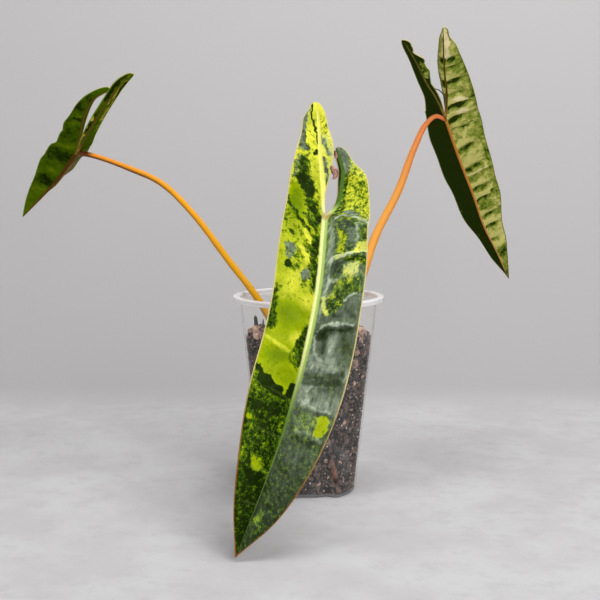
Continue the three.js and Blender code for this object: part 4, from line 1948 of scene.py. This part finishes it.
@dataclass
class Studio:
    """A pale floor and wall, soft light and the camera, in metres."""

    wall_at: float = SWEEP.corner
    half_width: float = 3.0
    front: float = -2.2
    top: float = 2.4
    camera_at: Point = (-0.0067, -0.988, 0.274)
    camera_pitch: float = 83.07
    lens: float = 75.0
    sensor: float = 36.0
    ambient: float = 0.22

    LIGHTS = (
        Softbox("top_softbox", (0.3, -0.25, 1.7), (0.0, 0.0, 0.0), (0.9, 0.9), 17.0),
        Softbox("front_softbox", (0.7, -1.8, 0.9), (0.0, 0.0, 0.2), (1.2, 1.2), 19.0),
        Softbox("left_softbox", (-1.6, -0.9, 0.7), (0.0, 0.0, 0.2), (1.0, 1.0), 7.0),
    )

    def _sweep(self) -> None:
        """Makes the floor and backdrop as one bent sheet."""
        line = [(self.front, 0.0), (self.wall_at, 0.0), (self.wall_at, self.top)]
        points = np.array([(x, y, z) for y, z in line for x in (-self.half_width, self.half_width)]) / MM
        faces = grid_faces(len(line), 2, turned=True)
        shell = Shell(points, faces, np.zeros(len(faces), int), {})
        shell.piece("studio_sweep", [SWEEP.material()])

    def _camera(self) -> None:
        """Makes the camera at the photograph's viewing angle."""
        data = bpy.data.cameras.new("camera")
        data.lens = self.lens
        data.sensor_width = self.sensor
        camera = linked("camera", data)
        camera.location = self.camera_at
        camera.rotation_euler = (math.radians(self.camera_pitch), 0.0, 0.0)
        bpy.context.scene.camera = camera

    def build(self) -> None:
        """Builds the sweep, the lights, the room's own light and the camera."""
        self._camera()
        self._sweep()
        for softbox in self.LIGHTS:
            softbox.build()
        world = bpy.data.worlds.new("studio_air")
        world.use_nodes = True
        background = world.node_tree.nodes["Background"]
        background.inputs[0].default_value = (1.0, 1.0, 1.0, 1.0)
        background.inputs[1].default_value = self.ambient
        bpy.context.scene.world = world
        bpy.context.scene.view_settings.view_transform = "Standard"
        log.info("studio: %d softboxes", len(self.LIGHTS))


# The plant

# The marks by their names alone, in their order
(LIME, SPOTTED, MOTTLED, FLECKED, DARK, BLACK, YELLOW, OLIVE, SHEENED, PAINTED_HIGHLIGHT, NO_SHEEN, LEMON, PURE, OPEN,
 BARE, ASHEN, INKY) = Mark

FRONT_LEFT_MARKINGS = (
    Patch(ASHEN, ((-4.5, -83), (-10, -77), (-13, -66), (-15, -51), (-9, -50), (-10, -60),
        (-8, -71)), 1.2, 0.9),
    Streak(BLACK, ((-1.8, -85), (-4.2, -78.5), (-4.5, -70), (-2.2, -62.5), (-1.2, -55)), 0.55),
    Streak(YELLOW, ((1.6, -84), (2, -60), (1.5, -30)), 1.8, 0.9),
    Blot(BLACK, (-9.8, -53), (1.8, 3.2), turn=-15),
    Blot(DARK, (-3.6, -47.5), (1.5, 2.6)),
    Patch(SHEENED, ((1, -62), (9, -60), (10, -42), (3, -28)), 1.6, 0.5),
    Streak(ASHEN, ((1, -59), (6, -46)), 1.3, 0.8),
    Streak(ASHEN, ((1.5, -43), (4, -28)), 1.3, 0.8),
    Blot(MOTTLED, (4.5, -66), (2.5, 3.5), 0.7, 0.6),
    Streak(DARK, ((3.4, -29), (1.6, -19)), 0.8, 0.8),
    Patch(FLECKED, ((-8, -46), (-15, -47), (-20, -38), (-21, -30), (-11, -30), (-7.5, -38)), 2, 0.85),
    Patch(DARK, ((-10, -45), (-14, -46), (-16, -37), (-13, -33), (-9.5, -36)), 1.4, 0.8),
    Streak(SHEENED, ((-15.5, -45), (-18.5, -37), (-20.5, -30)), 1.2, 0.5),
    Patch(BLACK, ((-8, -31), (-13, -34), (-18, -31), (-16.5, -24), (-13, -16), (-8, -13),
        (-5, -20)), 1.5, 0.92),
    Patch(LIME, ((-17.5, -27), (-23, -24), (-23, -8), (-17, 1), (-14.5, -5), (-16, -17)), 1.3, 0.9),
    Blot(OLIVE, (-19.5, -12), (4.5, 13), 0.8, 0.5),
    Patch(FLECKED, ((-14, -14), (-5, -13), (-3, -2), (-3, 9), (-8, 5), (-13, -4)), 1.6, 0.9),
    Blot(BLACK, (-8.5, -6), (2.5, 3.2), 0.8),
    Blot(MOTTLED, (-26, -4), (5, 12), 0.75, 0.6, 8),
    Streak(DARK, ((-25, -16), (-23, -7), (-19, 0), (-13, 8), (-9, 14)), 1.1, 0.8),
    Streak(DARK, ((-15, -3), (-10, 3), (-5, 11)), 1.4, 0.85),
    Blot(DARK, (-5, 3), (2.4, 4)),
    Blot(DARK, (-22.5, 12), (1.5, 2.2)),
    Blot(MOTTLED, (-15, 10), (4, 5), 0.7, 0.6),
    Patch(MOTTLED, ((-3, 10), (-9, 14), (-16, 22), (-9, 30), (-10, 44), (-6, 55), (-3, 56)), 1.6, 0.95),
    Streak(LEMON, ((-14, 11), (-10, 16), (-7, 21)), 1.4, 0.9),
    Patch(DARK, ((-3, 12), (-7.5, 15), (-8.5, 24), (-6, 31), (-5, 40), (-6, 49), (-3, 54)), 1.2),
    Blot(DARK, (-9.5, 33), (2, 3), 0.7),
    Patch(ASHEN, ((-27, 20), (-21, 20), (-19.5, 26), (-22, 33), (-25.5, 31)), 1.4, 0.95),
    Blot(MOTTLED, (-17, 28), (4, 5), 0.9, 0.6),
    Streak(LEMON, ((-16, 23), (-12, 28), (-9.5, 34)), 1.9, 0.85),
    Blot(BLACK, (-22.5, 36.8), (2.5, 2.7), 0.9),
    Blot(MOTTLED, (-18.5, 38), (2.6, 3.5), 0.8, 0.6),
    Blot(ASHEN, (-11.5, 43), (3, 4), turn=20),
    Blot(MOTTLED, (-12, 49), (2.6, 4), 0.9, 0.5),
    Patch(MOTTLED, ((-32, 52), (-28, 53), (-26.5, 64), (-25.5, 76), (-26, 87), (-32, 90)), 1.3, 0.95),
    Patch(DARK, ((-32, 54), (-29, 56), (-28, 66), (-27, 76), (-27.5, 84), (-32, 86)), 1.2, 0.7),
    # The three olive blots below are painted shade of the folds in the lime field.
    Blot(OLIVE, (-18, 75), (9, 8), 0.7, 0.9, 25),
    Blot(OLIVE, (-19, 103.5), (9.5, 5.5), 0.8, 0.8, -12),
    Blot(OLIVE, (-8, 117), (6, 5), 0.4, 0.8),
    Blot(YELLOW, (-18, 50), (6, 12), 0.5, 0.9, 30),
    Blot(YELLOW, (-6, 62), (4.5, 5), 0.8, 0.9),
    Blot(YELLOW, (-9, 88), (3.5, 5), 0.6, 0.8),
    Streak(YELLOW, ((-30, 93), (-20, 96), (-10, 100.5)), 1.3, 0.5),
    Patch(MOTTLED, ((-2, 75), (-5, 77), (-8, 88), (-12, 97), (-11, 108), (-4, 110), (-2, 106)), 1.6, 0.9),
    Patch(DARK, ((-2, 77), (-5, 79), (-7.5, 88), (-9.5, 94), (-6, 98), (-4, 108), (-2, 106)), 1.4, 0.95),
    Patch(BLACK, (
        (0, 120.3), (-5.3, 120.8), (-6.3, 127), (-7.8, 130.5), (-9.5, 126), (-10.5, 123.5), (-15, 123.5),
        (-18, 122), (-21, 119.5), (-25, 118.5), (-27, 115.5), (-29, 112.5), (-33, 113.5), (-31, 119),
        (-29, 124), (-24, 129), (-14, 131), (0, 131)), 0.5),
    Patch(FLECKED, ((-32, 117), (-30, 121), (-25, 129), (-14, 131), (0, 130), (0, 136), (-34, 136)), 1),
    Streak(MOTTLED, ((-31, 119), (-30, 130)), 1.6, 0.9),
    Blot(BLACK, (-23, 140.5), (3.2, 2.6), 0.9, 0.5),
    Blot(BLACK, (-11, 141), (5, 2.6), 0.8, 0.5),
    Patch(DARK, ((-19, 147), (-10, 149), (-4, 154), (-5, 160), (-12, 159), (-17, 154)), 1.6, 0.9),
    Blot(SPOTTED, (-27, 150), (1.5, 3), 0.95, 0.5),
    Blot(SPOTTED, (-23.6, 157.5), (1.7, 1.7), 1, 0.5),
    Blot(SPOTTED, (-9.5, 165.5), (2.2, 1.6), 0.8, 0.6),
    Blot(MOTTLED, (-3, 149), (4, 6), 0.5, 0.6),
    Patch(LIME, ((-16.5, 174), (-13, 176), (-9.5, 174), (-6.5, 180), (-7, 183), (-14.5, 184)), 1.2, 0.75),
    Blot(MOTTLED, (-22, 176), (2.6, 3.2), 0.8, 0.5),
    Patch(BLACK, ((-18, 185), (-6, 184), (-3.5, 186), (-6, 190), (-15, 191)), 1),
    Streak(MOTTLED, ((-6, 182.5), (0, 183.5)), 1, 0.8),
    Streak(FLECKED, ((-18, 198), (-12, 213), (-6, 228)), 2.4, 0.6),
)

FRONT_LEFT_HALF = HalfBlade(
    width=(30, 32, 32, 32.5, 33.5, 31, 24.5, 15, 0), fold=(10, 25),
    lobe=((9.6, -104, 245), (7.4, -96, 273), (6.6, -91, 290), (5.6, -89, 300), (4.2, -88, 306.5)),
    outer=(30, 26, 22.5, 17, 12.3, 0),
    inner=(0, 1.2, 7, 10, 6.5, 0), inner_fold=10,
    sweep=((-80, 8), (0, 18), (60, 14), (110, 10), (160, 2), (240, -6)),
    creases=swells(
        (-90, 0), (-60, 0.3), (-30, 0.4), (8, 0.5), (32, 0.5), (56, 0.3), (80, 0.3), (104, 0.9, 1.4),
        (132, -0.3), (158, 0.3), (182, 0.4), (205, 0.3), (245, 0),
    ),
    pillow=0.5,
    ground=(
        (-90, 0.85), (-52, 0.8), (-46, 0.72), (-28, 0.7), (-4, 0.62), (22, 0.8), (42, 0.97), (133, 0.97),
        (134, -0.48), (165, -0.4), (182, -0.42), (195, -0.6), (240, -0.7),
    ),
    warmth=((-90, 0.8), (-48, 0.75), (-25, 0.45), (0, 0.25), (45, 0.35), (62, 0.15), (120, 0.05), (240, 0)),
    markings=FRONT_LEFT_MARKINGS,
    ruffles=swells((-80, -2.5, 4.5)),
)

FRONT_RIGHT_MARKINGS = (
    # The streaks and blots that lay the sheen on at 2.5 are painted highlights on the ridges of this half;
    # the dark and black patches just past them are partly dark tissue and partly painted shade.
    Patch(ASHEN, ((0, -64), (4, -61), (7, -54), (5, -46), (2.5, -38), (0.5, -42)), 1.4, 0.85),
    Patch(INKY, ((-6, -70), (-1, -60), (0.5, -45), (1.6, -22), (2.4, -10), (0.5, -10), (-6, -30)), 1, 0.85),
    Patch(FLECKED, ((1, -44), (3, -44), (4.5, -22), (7, -4), (2.4, -3), (2, -20)), 1.2, 0.9),
    Blot(MOTTLED, (12, -30), (3, 5), 0.7, 0.6, 20),
    Blot(MOTTLED, (16, -16), (3.5, 4), 0.7, 0.6),
    Blot(SHEENED, (26, -5), (2.4, 9), 0.6, 0.6),
    Blot(ASHEN, (13, -9), (4.5, 2.8)),
    Patch(DARK, ((8, 1), (13, -2), (21, -3), (22, 4), (20, 16), (16, 20), (16, 10), (10, 4)), 1.4, 0.9),
    Blot(SHEENED, (20, 12), (3, 7), 0.5, 0.6),
    Streak(PAINTED_HIGHLIGHT, ((7, -1), (10, -4), (16, -6), (23, -5), (30, -3.5)), 0.8, 0.7),
    Streak(PAINTED_HIGHLIGHT, ((22.5, -4), (23.6, 4), (23.6, 14)), 0.8, 0.35),
    Streak(SHEENED, ((5, 2), (5.8, 14), (6, 30)), 1.9, 0.95),
    Patch(OPEN, ((8.5, 4), (12, 6), (15.5, 12), (15.5, 22), (13, 24.5), (9, 23.5), (11.5, 15)), 1.3),
    Patch(BARE, ((25, -4), (29, 0), (31, 11), (25.5, 13)), 1.3, 0.85),
    Patch(LEMON, ((20, 20), (25, 14), (31, 11), (32, 20), (22, 22)), 1.6, 0.8),
    Streak(LEMON, ((31, 20), (24, 21.5), (18, 23), (13, 26), (9.5, 28.5)), 1.1, 0.9),
    Streak(PAINTED_HIGHLIGHT, ((31, 20), (24, 21.5), (18, 23), (13, 26), (9, 28.5), (6, 32), (4.5, 36)), 0.9, 0.7),
    Patch(BARE, ((14, 28), (18, 25.5), (31, 23.5), (32, 30), (16, 31)), 1.2),
    Patch(LEMON, ((14.5, 33), (26, 29), (28, 36), (22, 41), (15.5, 42)), 1.6, 0.72),
    Patch(SHEENED, ((14.5, 33), (26, 29), (28, 36), (22, 41), (15.5, 42)), 1.6, 0.5),
    Patch(DARK, ((7, 33), (10, 30), (13.8, 29), (14.2, 40), (12, 44), (8, 43), (6, 38)), 1.4),
    Patch(NO_SHEEN, ((8, 34), (10, 31), (13.5, 30), (14, 38), (12, 43), (9, 41)), 2, 0.7),
    Streak(PAINTED_HIGHLIGHT, ((4.6, 35), (5, 40), (7, 44.5)), 0.9, 0.8),
    Streak(PAINTED_HIGHLIGHT, ((12, 43.3), (8, 45), (5.2, 50), (4.4, 58)), 0.9, 0.85),
    Patch(DARK, ((8, 47), (12, 45.5), (12, 52), (7, 57), (6, 53)), 1.4),
    Patch(BARE, ((12, 45), (20, 42), (29, 38), (29, 50), (20, 56), (18, 62), (12, 68), (7, 64)), 2, 0.8),
    Blot(SPOTTED, (14.5, 46.5), (2.8, 3.6), 0.95, 0.5),
    Blot(SPOTTED, (9.5, 55.5), (2.8, 3.8), 0.95, 0.5, 20),
    Blot(SPOTTED, (20, 42), (2.4, 3), 0.9, 0.5),
    Blot(MOTTLED, (16, 61), (3, 4), 0.9, 0.6),
    Streak(PAINTED_HIGHLIGHT, ((19.5, 57.5), (21, 54.5), (29, 51.5)), 0.7, 0.7),
    Patch(BLACK, ((20, 57), (29, 53), (31, 66), (21, 70), (17, 66)), 1.4, 0.8),
    Streak(LEMON, ((4.6, 58), (5.6, 64), (8.5, 68.5)), 1.4, 0.85),
    Streak(SHEENED, ((4, 30), (4.2, 50), (4.2, 74)), 1, 0.9),
    Patch(BLACK, ((6, 82), (12, 77), (20, 75.5), (29, 75), (29, 79), (13, 81.5), (13, 95), (7, 95)), 1.3),
    Patch(NO_SHEEN, ((6, 82), (12, 77), (20, 75.5), (29, 75.5), (29, 78), (13, 81), (12.5, 85),
        (7, 86)), 2, 0.95),
    Patch(NO_SHEEN, ((7, 85), (12, 84), (12, 95), (8, 95)), 2.4, 0.7),
    Streak(PAINTED_HIGHLIGHT, ((3.5, 80.5), (7, 77), (12, 74.5), (19, 73), (29, 73)), 0.75),
    Streak(PAINTED_HIGHLIGHT, ((4.6, 84), (5, 92), (7.5, 98.5), (12, 99.5)), 0.7, 0.6),
    Blot(PAINTED_HIGHLIGHT, (16.5, 90), (2, 8), 0.4, 0.9),
    Blot(PAINTED_HIGHLIGHT, (22, 104), (4, 2.5), 0.3, 0.9),
    Blot(PAINTED_HIGHLIGHT, (9, 104), (4, 3), 0.35, 0.9),
    Blot(NO_SHEEN, (26.5, 90), (5, 9), 0.7, 0.9),
    Streak(NO_SHEEN, ((3, 113), (12, 111), (20, 109.5), (29, 107)), 1.9, 0.6),
    Streak(NO_SHEEN, ((5, 116.5), (16, 114.5), (28, 112)), 2, 0.6),
    Blot(NO_SHEEN, (25, 116), (6, 8), 0.6, 0.9),
    Blot(PAINTED_HIGHLIGHT, (9, 121), (4, 3), 0.4, 0.9),
    Blot(PAINTED_HIGHLIGHT, (7.5, 129), (2.4, 4), 0.4, 0.9),
    Streak(PAINTED_HIGHLIGHT, ((8, 131), (14, 132.5), (27, 133)), 0.7, 0.6),
    Patch(MOTTLED, ((9, 137), (20, 136), (20, 150), (6, 152), (7, 143)), 2, 0.8),
    Patch(PURE, ((20.5, 135.5), (25, 134.5), (28, 139), (28, 145), (26, 150), (22, 150.5), (19, 147),
        (20, 141)), 0.9),
    Streak(SHEENED, ((8, 149.5), (18, 150.5), (27, 153)), 1, 0.8),
    Patch(DARK, ((8, 155), (25, 154), (24, 160), (10, 160)), 1.6),
    Blot(SPOTTED, (5, 213), (2.8, 3.6), 0.85, 0.5, 10),
    Blot(MOTTLED, (7, 222), (2.4, 5), 0.6, 0.5, 20),
)

FRONT_RIGHT_HALF = HalfBlade(
    width=(31, 32, 32, 33, 33, 31, 26, 17, 0), fold=(8, 25),
    lobe=((19.7, -102, 234.7), (23.1, -94, 247.2), (24.2, -87, 257.4), (21.4, -81, 267.8),
        (19.6, -78, 274.3)),
    outer=(31, 25.5, 21, 16.5, 8.8, 0),
    inner=(0, 1.8, 2.8, 4.8, 3.4, 0), inner_fold=-40,
    sweep=(
        (-60, 6), (0, 12), (12, 14), (30, 20), (50, 14), (80, 12), (112, 6), (134, 1), (150, -3), (165, -6),
        (240, -10),
    ),
    sweep_reach=9,
    creases=swells(
        (-70, 0), (-40, 0.4), (-18, 0.5), (5.7, 1.5, 2), (40.5, 1.8, 2), (54.5, 1.3, 1.8),
        (83.8, 2.2, 1.8), (115, -1.1, 3.4), (134, 1, 1.4), (154, -0.8, 3), (176, 0.5), (196, 0.4),
        (218, 0.4), (245, 0),
    ),
    pillow=0.9,
    ground=(
        (-70, -0.5), (-57, -0.3), (-50, 0.4), (-44, 0.46), (-14, 0.44), (-6, 0.15), (0, -0.2), (24, -0.3),
        (60, -0.4), (70, -0.8), (132, -0.8), (138, -0.4), (152, -0.5), (165, -0.65), (240, -0.6),
    ),
    warmth=((-70, 0.6), (-10, 0.6), (0, 0.4), (60, 0.2), (240, 0)),
    film_and_sheen=(
        (-70, 0.3), (-48, 0.2), (-35, 0), (-8, 0), (5, 0.35), (24, 0.35), (40, 0.45), (60, 0.5), (72, 0.5),
        (86, 0.5), (96, 0.9), (106, 1.1), (112, 0.65), (119, 0.95), (130, 1.1), (136, 0.35), (148, 0.4),
        (157, 0.2), (163, 0.35), (175, 0.2), (190, 0.15), (240, 0.08),
    ),
    markings=FRONT_RIGHT_MARKINGS,
)

FRONT_LEAF = Leaf(
    "front_leaf_blade", "leaf_front", "leaf_upper",
    midrib=((11, -110, 225), (6, -126, 176), (-5, -143, 125), (-20, -158, 77), (-34, -170, 41),
        (-50, -182, 3)),
    facing=Facing((0, -1, 0.2), (0, -1, 0.3), (0.1, -1, 0.3)),
    upper=UPPER_FACE, under=UNDER_FACE, seed=31,
    left=FRONT_LEFT_HALF, right=FRONT_RIGHT_HALF,
)

RIGHT_LEFT_MARKINGS = (
    Streak(FLECKED, ((-15, -62), (-21, -35), (-26, -5), (-26, 20), (-23, 50)), 2.8, 0.8),
    Streak(FLECKED, ((-23, 50), (-21, 90), (-18, 120)), 2.2, 0.5),
    Patch(LEMON, ((0, -100), (-4, -88), (-5.5, -68), (-2, -62), (1, -70)), 0.9),
    # The two lemon blots are painted highlights on the puckers beside the rib, and the two black blots
    # painted shade in the pockets below them.
    Blot(LEMON, (-11, -17), (6.5, 2.6), 0.9, 0.5, -6),
    Blot(LEMON, (-13.5, -3.5), (5.5, 3.6), 0.9, 0.5, -20),
    Blot(BLACK, (-5, 3.5), (3.2, 2), 0.95, 0.5, 8),
    Blot(BLACK, (-8, -10), (5, 1.6), 0.9, 0.5, 4),
    Streak(DARK, ((-1, 13.5), (-12, 14.5), (-23, 13.5)), 0.5, 0.8),
    Streak(LIME, ((-13, 16), (-11, 22), (-10, 28)), 0.8, 0.8),
    Streak(LEMON, ((-1, 67), (-9, 67.5), (-18, 65.5)), 0.7, 0.9),
    # The lime and dark streaks here are painted highlight and painted shade of a curl in the margin.
    Streak(LIME, ((-17, 88), (-13, 91), (-13, 96), (-17, 98)), 0.9, 0.9),
    Streak(DARK, ((-19, 91), (-15.5, 92), (-15, 95)), 0.8, 0.8),
    Patch(FLECKED, ((-3, 100), (-14, 101), (-16, 112), (-8, 114), (-3, 110)), 1.6, 0.7),
)

RIGHT_LEFT_HALF = HalfBlade(
    width=(27, 27, 25, 24, 22, 18, 13, 7, 0), fold=(30, 30),
    lobe=((112, 34, 316), (108, 16, 332), (105, 0, 347), (102, -21, 365)),
    outer=(27, 23.5, 19.5, 14.5, 11, 0),
    inner=(0, 3, 5, 6, 4, 0), inner_fold=10,
    sweep=((-90, 3), (0, 3), (100, 2), (200, 0)),
    creases=swells(
        (-105, 0), (-84, 0.3), (-63, 1.2, 2.2), (-54, 0.7, 1.6), (-39, 1.5, 2.2), (-24, 0.8, 1.8),
        (-10.5, 1.7, 2.2), (3.5, 1.7, 2), (15, 0.3, 1), (38, 1.2, 2.4), (61, 1.4, 2.6), (72, 0.4),
        (85.5, 1.3, 2.2), (98.5, 1.7, 2.2), (118.5, 1.3, 2), (131.5, 1.7, 2), (148, 1.2, 1.8), (163, 0.2),
        (205, 0),
    ),
    pillow=-2,
    ground=(
        (-100, 0.2), (-60, 0.15), (-30, 0.28), (0, 0.35), (14, 0.35), (20, 0.05), (34, 0.35), (42, 0.65),
        (56, 0.6), (70, 0.3), (100, 0.2), (118, 0.5), (135, 0.65), (157, 0.6), (160, -0.12), (200, -0.05),
    ),
    contrast=0.8,
    markings=RIGHT_LEFT_MARKINGS,
    ruffles=swells((-88, -4.5, 8)),
    inner_ruffles=swells((-93, -1.2, 5)),
)

RIGHT_RIGHT_MARKINGS = (
    Patch(MOTTLED, ((-1, -72), (-6, -68), (-7, -56), (-3, -46), (-1, -52)), 1.2, 0.9),
    Blot(FLECKED, (8, -32), (5, 14), 0.35, 0.8, -20),
)

RIGHT_RIGHT_HALF = HalfBlade(
    width=(23, 27, 30, 30, 29, 26, 21, 13, 0), fold=(20, 25),
    lobe=((104, 38, 314), (94, 22, 326), (86, 6, 338), (72, -18, 356)),
    outer=(22, 13.5, 10.5, 9, 6, 0),
    inner=(0, 3, 4, 5.5, 4.5, 0), inner_fold=10,
    sweep=((-90, 4), (0, 4), (100, 2), (200, 0)),
    creases=swells(*((along, 0.15, 2) for along in range(-105, 210, 15))),
    pillow=-0.3,
    # This half turned from the light is kept at the darkest tissue throughout: partly its own dark green,
    # partly painted shade.
    ground=((-100, -1.1), (-20, -1.4), (100, -1.3), (130, -1), (200, -1)),
    markings=RIGHT_RIGHT_MARKINGS,
    inner_ruffles=swells((-41, -0.8, 4), (-56, 1, 4), (-72, 2.6, 4), (-82, -2.2, 3.5), (-94, 1.2, 3)),
)

RIGHT_LEAF = Leaf(
    "right_leaf_blade", "leaf_right", "leaf_under",
    midrib=((113, 50, 299), (128, 78, 267), (144, 104, 235), (158, 128, 205), (174, 148, 178),
        (187, 165, 154)),
    facing=Facing((0.35, 0.6, 0.65), (0.35, 0.6, 0.65), (0.35, 0.6, 0.65)),
    upper=SIDE_UPPER_FACE, under=UNDER_FACE, seed=57,
    rib_width=0.68, rib_drop=1.6, rib_drop_width=0.85, vein_width=1.6,
    left=RIGHT_LEFT_HALF, right=RIGHT_RIGHT_HALF,
)

LEFT_LEFT_MARKINGS = (
    Streak(SPOTTED, ((-4, -70), (-7, -52), (-8, -30)), 2, 0.9),
    Streak(LEMON, ((-4, -88), (-6, -70), (-7, -50)), 0.7, 0.7),
    Streak(LEMON, ((-1.5, -112), (-2.5, -92), (-1.6, -76)), 0.8, 0.7),
    Streak(DARK, ((-3, -110), (-6, -84), (-10, -60)), 1.6, 0.8),
    Streak(DARK, ((2.4, -118), (2.6, -96), (1.6, -80)), 1.4, 0.9),
    Patch(DARK, ((0, -60), (6, -60), (6, -5), (0, -5)), 1, 0.6),
    Streak(YELLOW, ((3, -8), (3, -70)), 3, 0.8),
    Streak(LIME, ((3, -14), (3, -26)), 1.5, 0.9),
    Blot(LIME, (3.2, -38), (1.2, 2.4), 0.8),
    Blot(LIME, (3.4, -52), (1.6, 3), 0.8),
)

LEFT_LEFT_HALF = HalfBlade(
    width=(15, 16, 16, 15.5, 14, 11.5, 8.5, 5.5, 0), fold=(38, 55),
    lobe=((-184, 45, 281), (-170, 20, 296), (-157, 0, 310), (-143, -20, 323), (-133, -30, 330)),
    outer=(15, 11, 9, 8, 6, 0),
    inner=(0, 3, 4, 4, 5, 0), inner_fold=20,
    sweep=((-120, 0), (160, 0)),
    creases=swells(*((along, 0.4, 1.8) for along in range(-130, 175, 16))),
    pillow=-0.6,
    ground=((-125, 0.1), (-80, -0.1), (-60, -0.2), (0, -0.1), (30, -0.2), (160, 0)),
    warmth=((-120, 0.3), (160, 0)),
    film_and_sheen=((-125, 0), (5, 0), (20, 1.2), (110, 1.8), (140, 1), (160, 0.4)),
    markings=LEFT_LEFT_MARKINGS,
)

LEFT_RIGHT_MARKINGS = (
    Streak(MOTTLED, ((18, -45), (22, -15), (23, 20), (23, 60), (17, 105)), 1.6, 0.8),
    # The turned dark and spotted blots are painted shade and painted highlight of the folds across this half.
    Blot(DARK, (9, -64), (7, 4), 0.45, 1, 20),
    Blot(DARK, (12.5, -45), (8, 3.6), 0.9, 1, 48),
    Blot(SPOTTED, (9.6, -34.5), (12, 1.2), 0.9, 0.9, 48),
    Blot(DARK, (7.6, -31.5), (7, 2.2), 0.95, 0.9, 48),
    Blot(SPOTTED, (8.6, -26), (12, 1.3), 0.7, 0.9, 48),
    Blot(DARK, (9, -9), (9, 4), 0.3, 1, 50),
    Blot(SPOTTED, (13, 19), (20, 3), 1, 1, 63),
    Blot(DARK, (10, 38), (20, 7), 0.9, 1, 62),
    Blot(MOTTLED, (8, 53), (16, 4), 0.6, 1, 64),
    Blot(DARK, (7.5, 90), (15, 5.4), 0.9, 1, 65),
    Blot(SPOTTED, (7.5, 69), (17, 3.4), 0.8, 1, 65),
    Blot(SPOTTED, (5.5, 108), (12, 3.4), 0.9, 1, 65),
    Blot(MOTTLED, (4, 126), (5, 14), 0.8, 0.9),
)

LEFT_RIGHT_HALF = HalfBlade(
    width=(22, 24, 24.5, 25, 24, 20.5, 15, 9.5, 0), fold=(52, 52),
    lobe=((-187, 47, 283), (-179, 25, 300), (-169, 8, 312), (-153, -8, 319)),
    outer=(22, 20.5, 15, 9.5, 6, 0),
    inner=(0, 1, 2, 2, 1, 0), inner_fold=20,
    sweep=((-100, -12), (-20, -22), (10, -40), (100, -35), (160, -8)),
    creases=swells(
        (-100, 0), (-72, 0.4), (-50, 0.8, 1.8), (-36, 0.9, 1.8), (-18, 0.3), (6, 0.3), (28, 0.3),
        (48, -1, 3), (66, 0.5), (84, -0.5, 3), (104, 0.6, 2.4), (124, -0.3), (160, 0),
    ),
    pillow=-0.9,
    ground=((-100, -0.1), (-60, -0.2), (0, -0.25), (100, -0.2), (125, 0), (150, 0.2)),
    markings=LEFT_RIGHT_MARKINGS,
    ruffles=swells((28, -2.5, 14), (-10, 1.5, 8)),
)

LEFT_LEAF = Leaf(
    "left_leaf_blade", "leaf_left", "leaf_under",
    midrib=((-192, 60, 271), (-205, 88, 260), (-220, 118, 247), (-238, 148, 233), (-266, 182, 210.5)),
    facing=Facing((0.2, 0.5, 0.84), (0.03, 0.43, 0.9), (0.03, 0.43, 0.9)),
    upper=SIDE_UPPER_FACE, under=LEFT_UNDER_FACE, seed=83,
    rib_width=0.8, rib_drop=1.6, rib_drop_width=1,
    left=LEFT_LEFT_HALF, right=LEFT_RIGHT_HALF,
)

STALKS = (
    Stalk("front_petiole_stalk", "petiole_front", "petiole", CORAL_STALK,
        ((-3, -6, 110), (-4, -13, 128), (-3, -30, 158), (2, -58, 190), (8, -88, 212), (11, -110, 222)),
        (4.2, 3.6, 3.3, 2.6, 1.7)),
    Stalk("right_petiole_stalk", "petiole_right", "petiole", CORAL_STALK, (
        (4, 9, 110), (13, 10, 122), (26, 13, 137), (42, 21, 167), (55, 30, 203), (74, 38, 240),
        (86, 43, 272), (97, 47, 294), (105, 49, 300), (114, 52, 297)), (4.4, 3.7, 3.4, 3, 1.6)),
    Stalk("left_petiole_stalk", "petiole_left", "petiole", GOLDEN_STALK, (
        (-14, 7, 112), (-24, 7, 126), (-41, 11, 154), (-66, 25, 185), (-94, 38, 220), (-121, 48, 245),
        (-150, 54, 258), (-180, 59, 268), (-193, 62, 270)), (3.1, 2.8, 2.6, 2.4, 2)),
    Stalk("root_crown_stem", "stem", "stem", STEM_SKIN,
        ((-6, 8, 92), (-5.5, 7.5, 118), (-5, 7, 144)), (11, 11, 9.9, 7, 3), lumps=0.08),
    Stalk("old_cut_stub", "old_petiole_stub", "stub", STUB_SKIN,
        ((-40, 3, 112), (-41, 3.4, 126), (-42.5, 4, 141)), (1.7, 1.7, 1.6), lumps=0.2),
    Stalk("old_sheath_tip", "old_sheath_stub", "stub", STUB_SKIN,
        ((-37, -1, 114), (-36.4, -0.6, 126), (-36, 0, 139)), (0.9, 0.9, 0.5), lumps=0.2),
    Stalk("dried_tendril", "leaf_right", "leaf_under", STUB_SKIN,
        ((99.5, 14, 320.9), (105.2, 24, 319.4), (109.8, 34, 315.2), (111.7, 42, 308.8), (113, 49, 302.3)),
        (0.35, 0.5, 0.6), sides=12),
    Stalk("dried_pink_scrap", "leaf_front", "leaf_upper", SCRAP_SKIN,
        ((13.6, -100, 261.5), (16.8, -101, 259), (18.6, -101, 255), (16.4, -101, 252)),
        (1, 3, 3.6, 2.6, 0.8), lumps=0.35),
    Stalk("dried_brown_scrap", "leaf_front", "leaf_upper", SCRAP_SKIN,
        ((16.6, -86, 273), (18.6, -86, 270), (19.4, -87, 266)),
        (0.8, 1.9, 1.1), lumps=0.35),
    Stalk("long_bark_sliver", "substrate", "bark_mix", SLIVER_SKIN, (
        (13.4, -38.3, 61), (15.1, -35.5, 50.9), (16.8, -32.2, 39.7), (19.2, -29.6, 27),
        (21.6, -28.8, 14.8), (24.1, -25.8, 3.4)), (0.6, 1.2, 1.6, 2, 1.4), sides=12, lumps=0.3),
)


def main() -> None:
    """Builds the studio, the pot, its filling and the plant."""
    logging.basicConfig(level=logging.INFO, format="%(name)s %(message)s")
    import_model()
    Studio().build()
    cup = Cup()
    ClearPot(cup).build()
    BarkMix(cup).build(scatter_recipe())
    tube = tube_recipe()
    for stalk in STALKS:
        stalk.build(tube)
    for leaf in (FRONT_LEAF, RIGHT_LEAF, LEFT_LEAF):
        leaf.build()


if __name__ == "__main__":
    main()
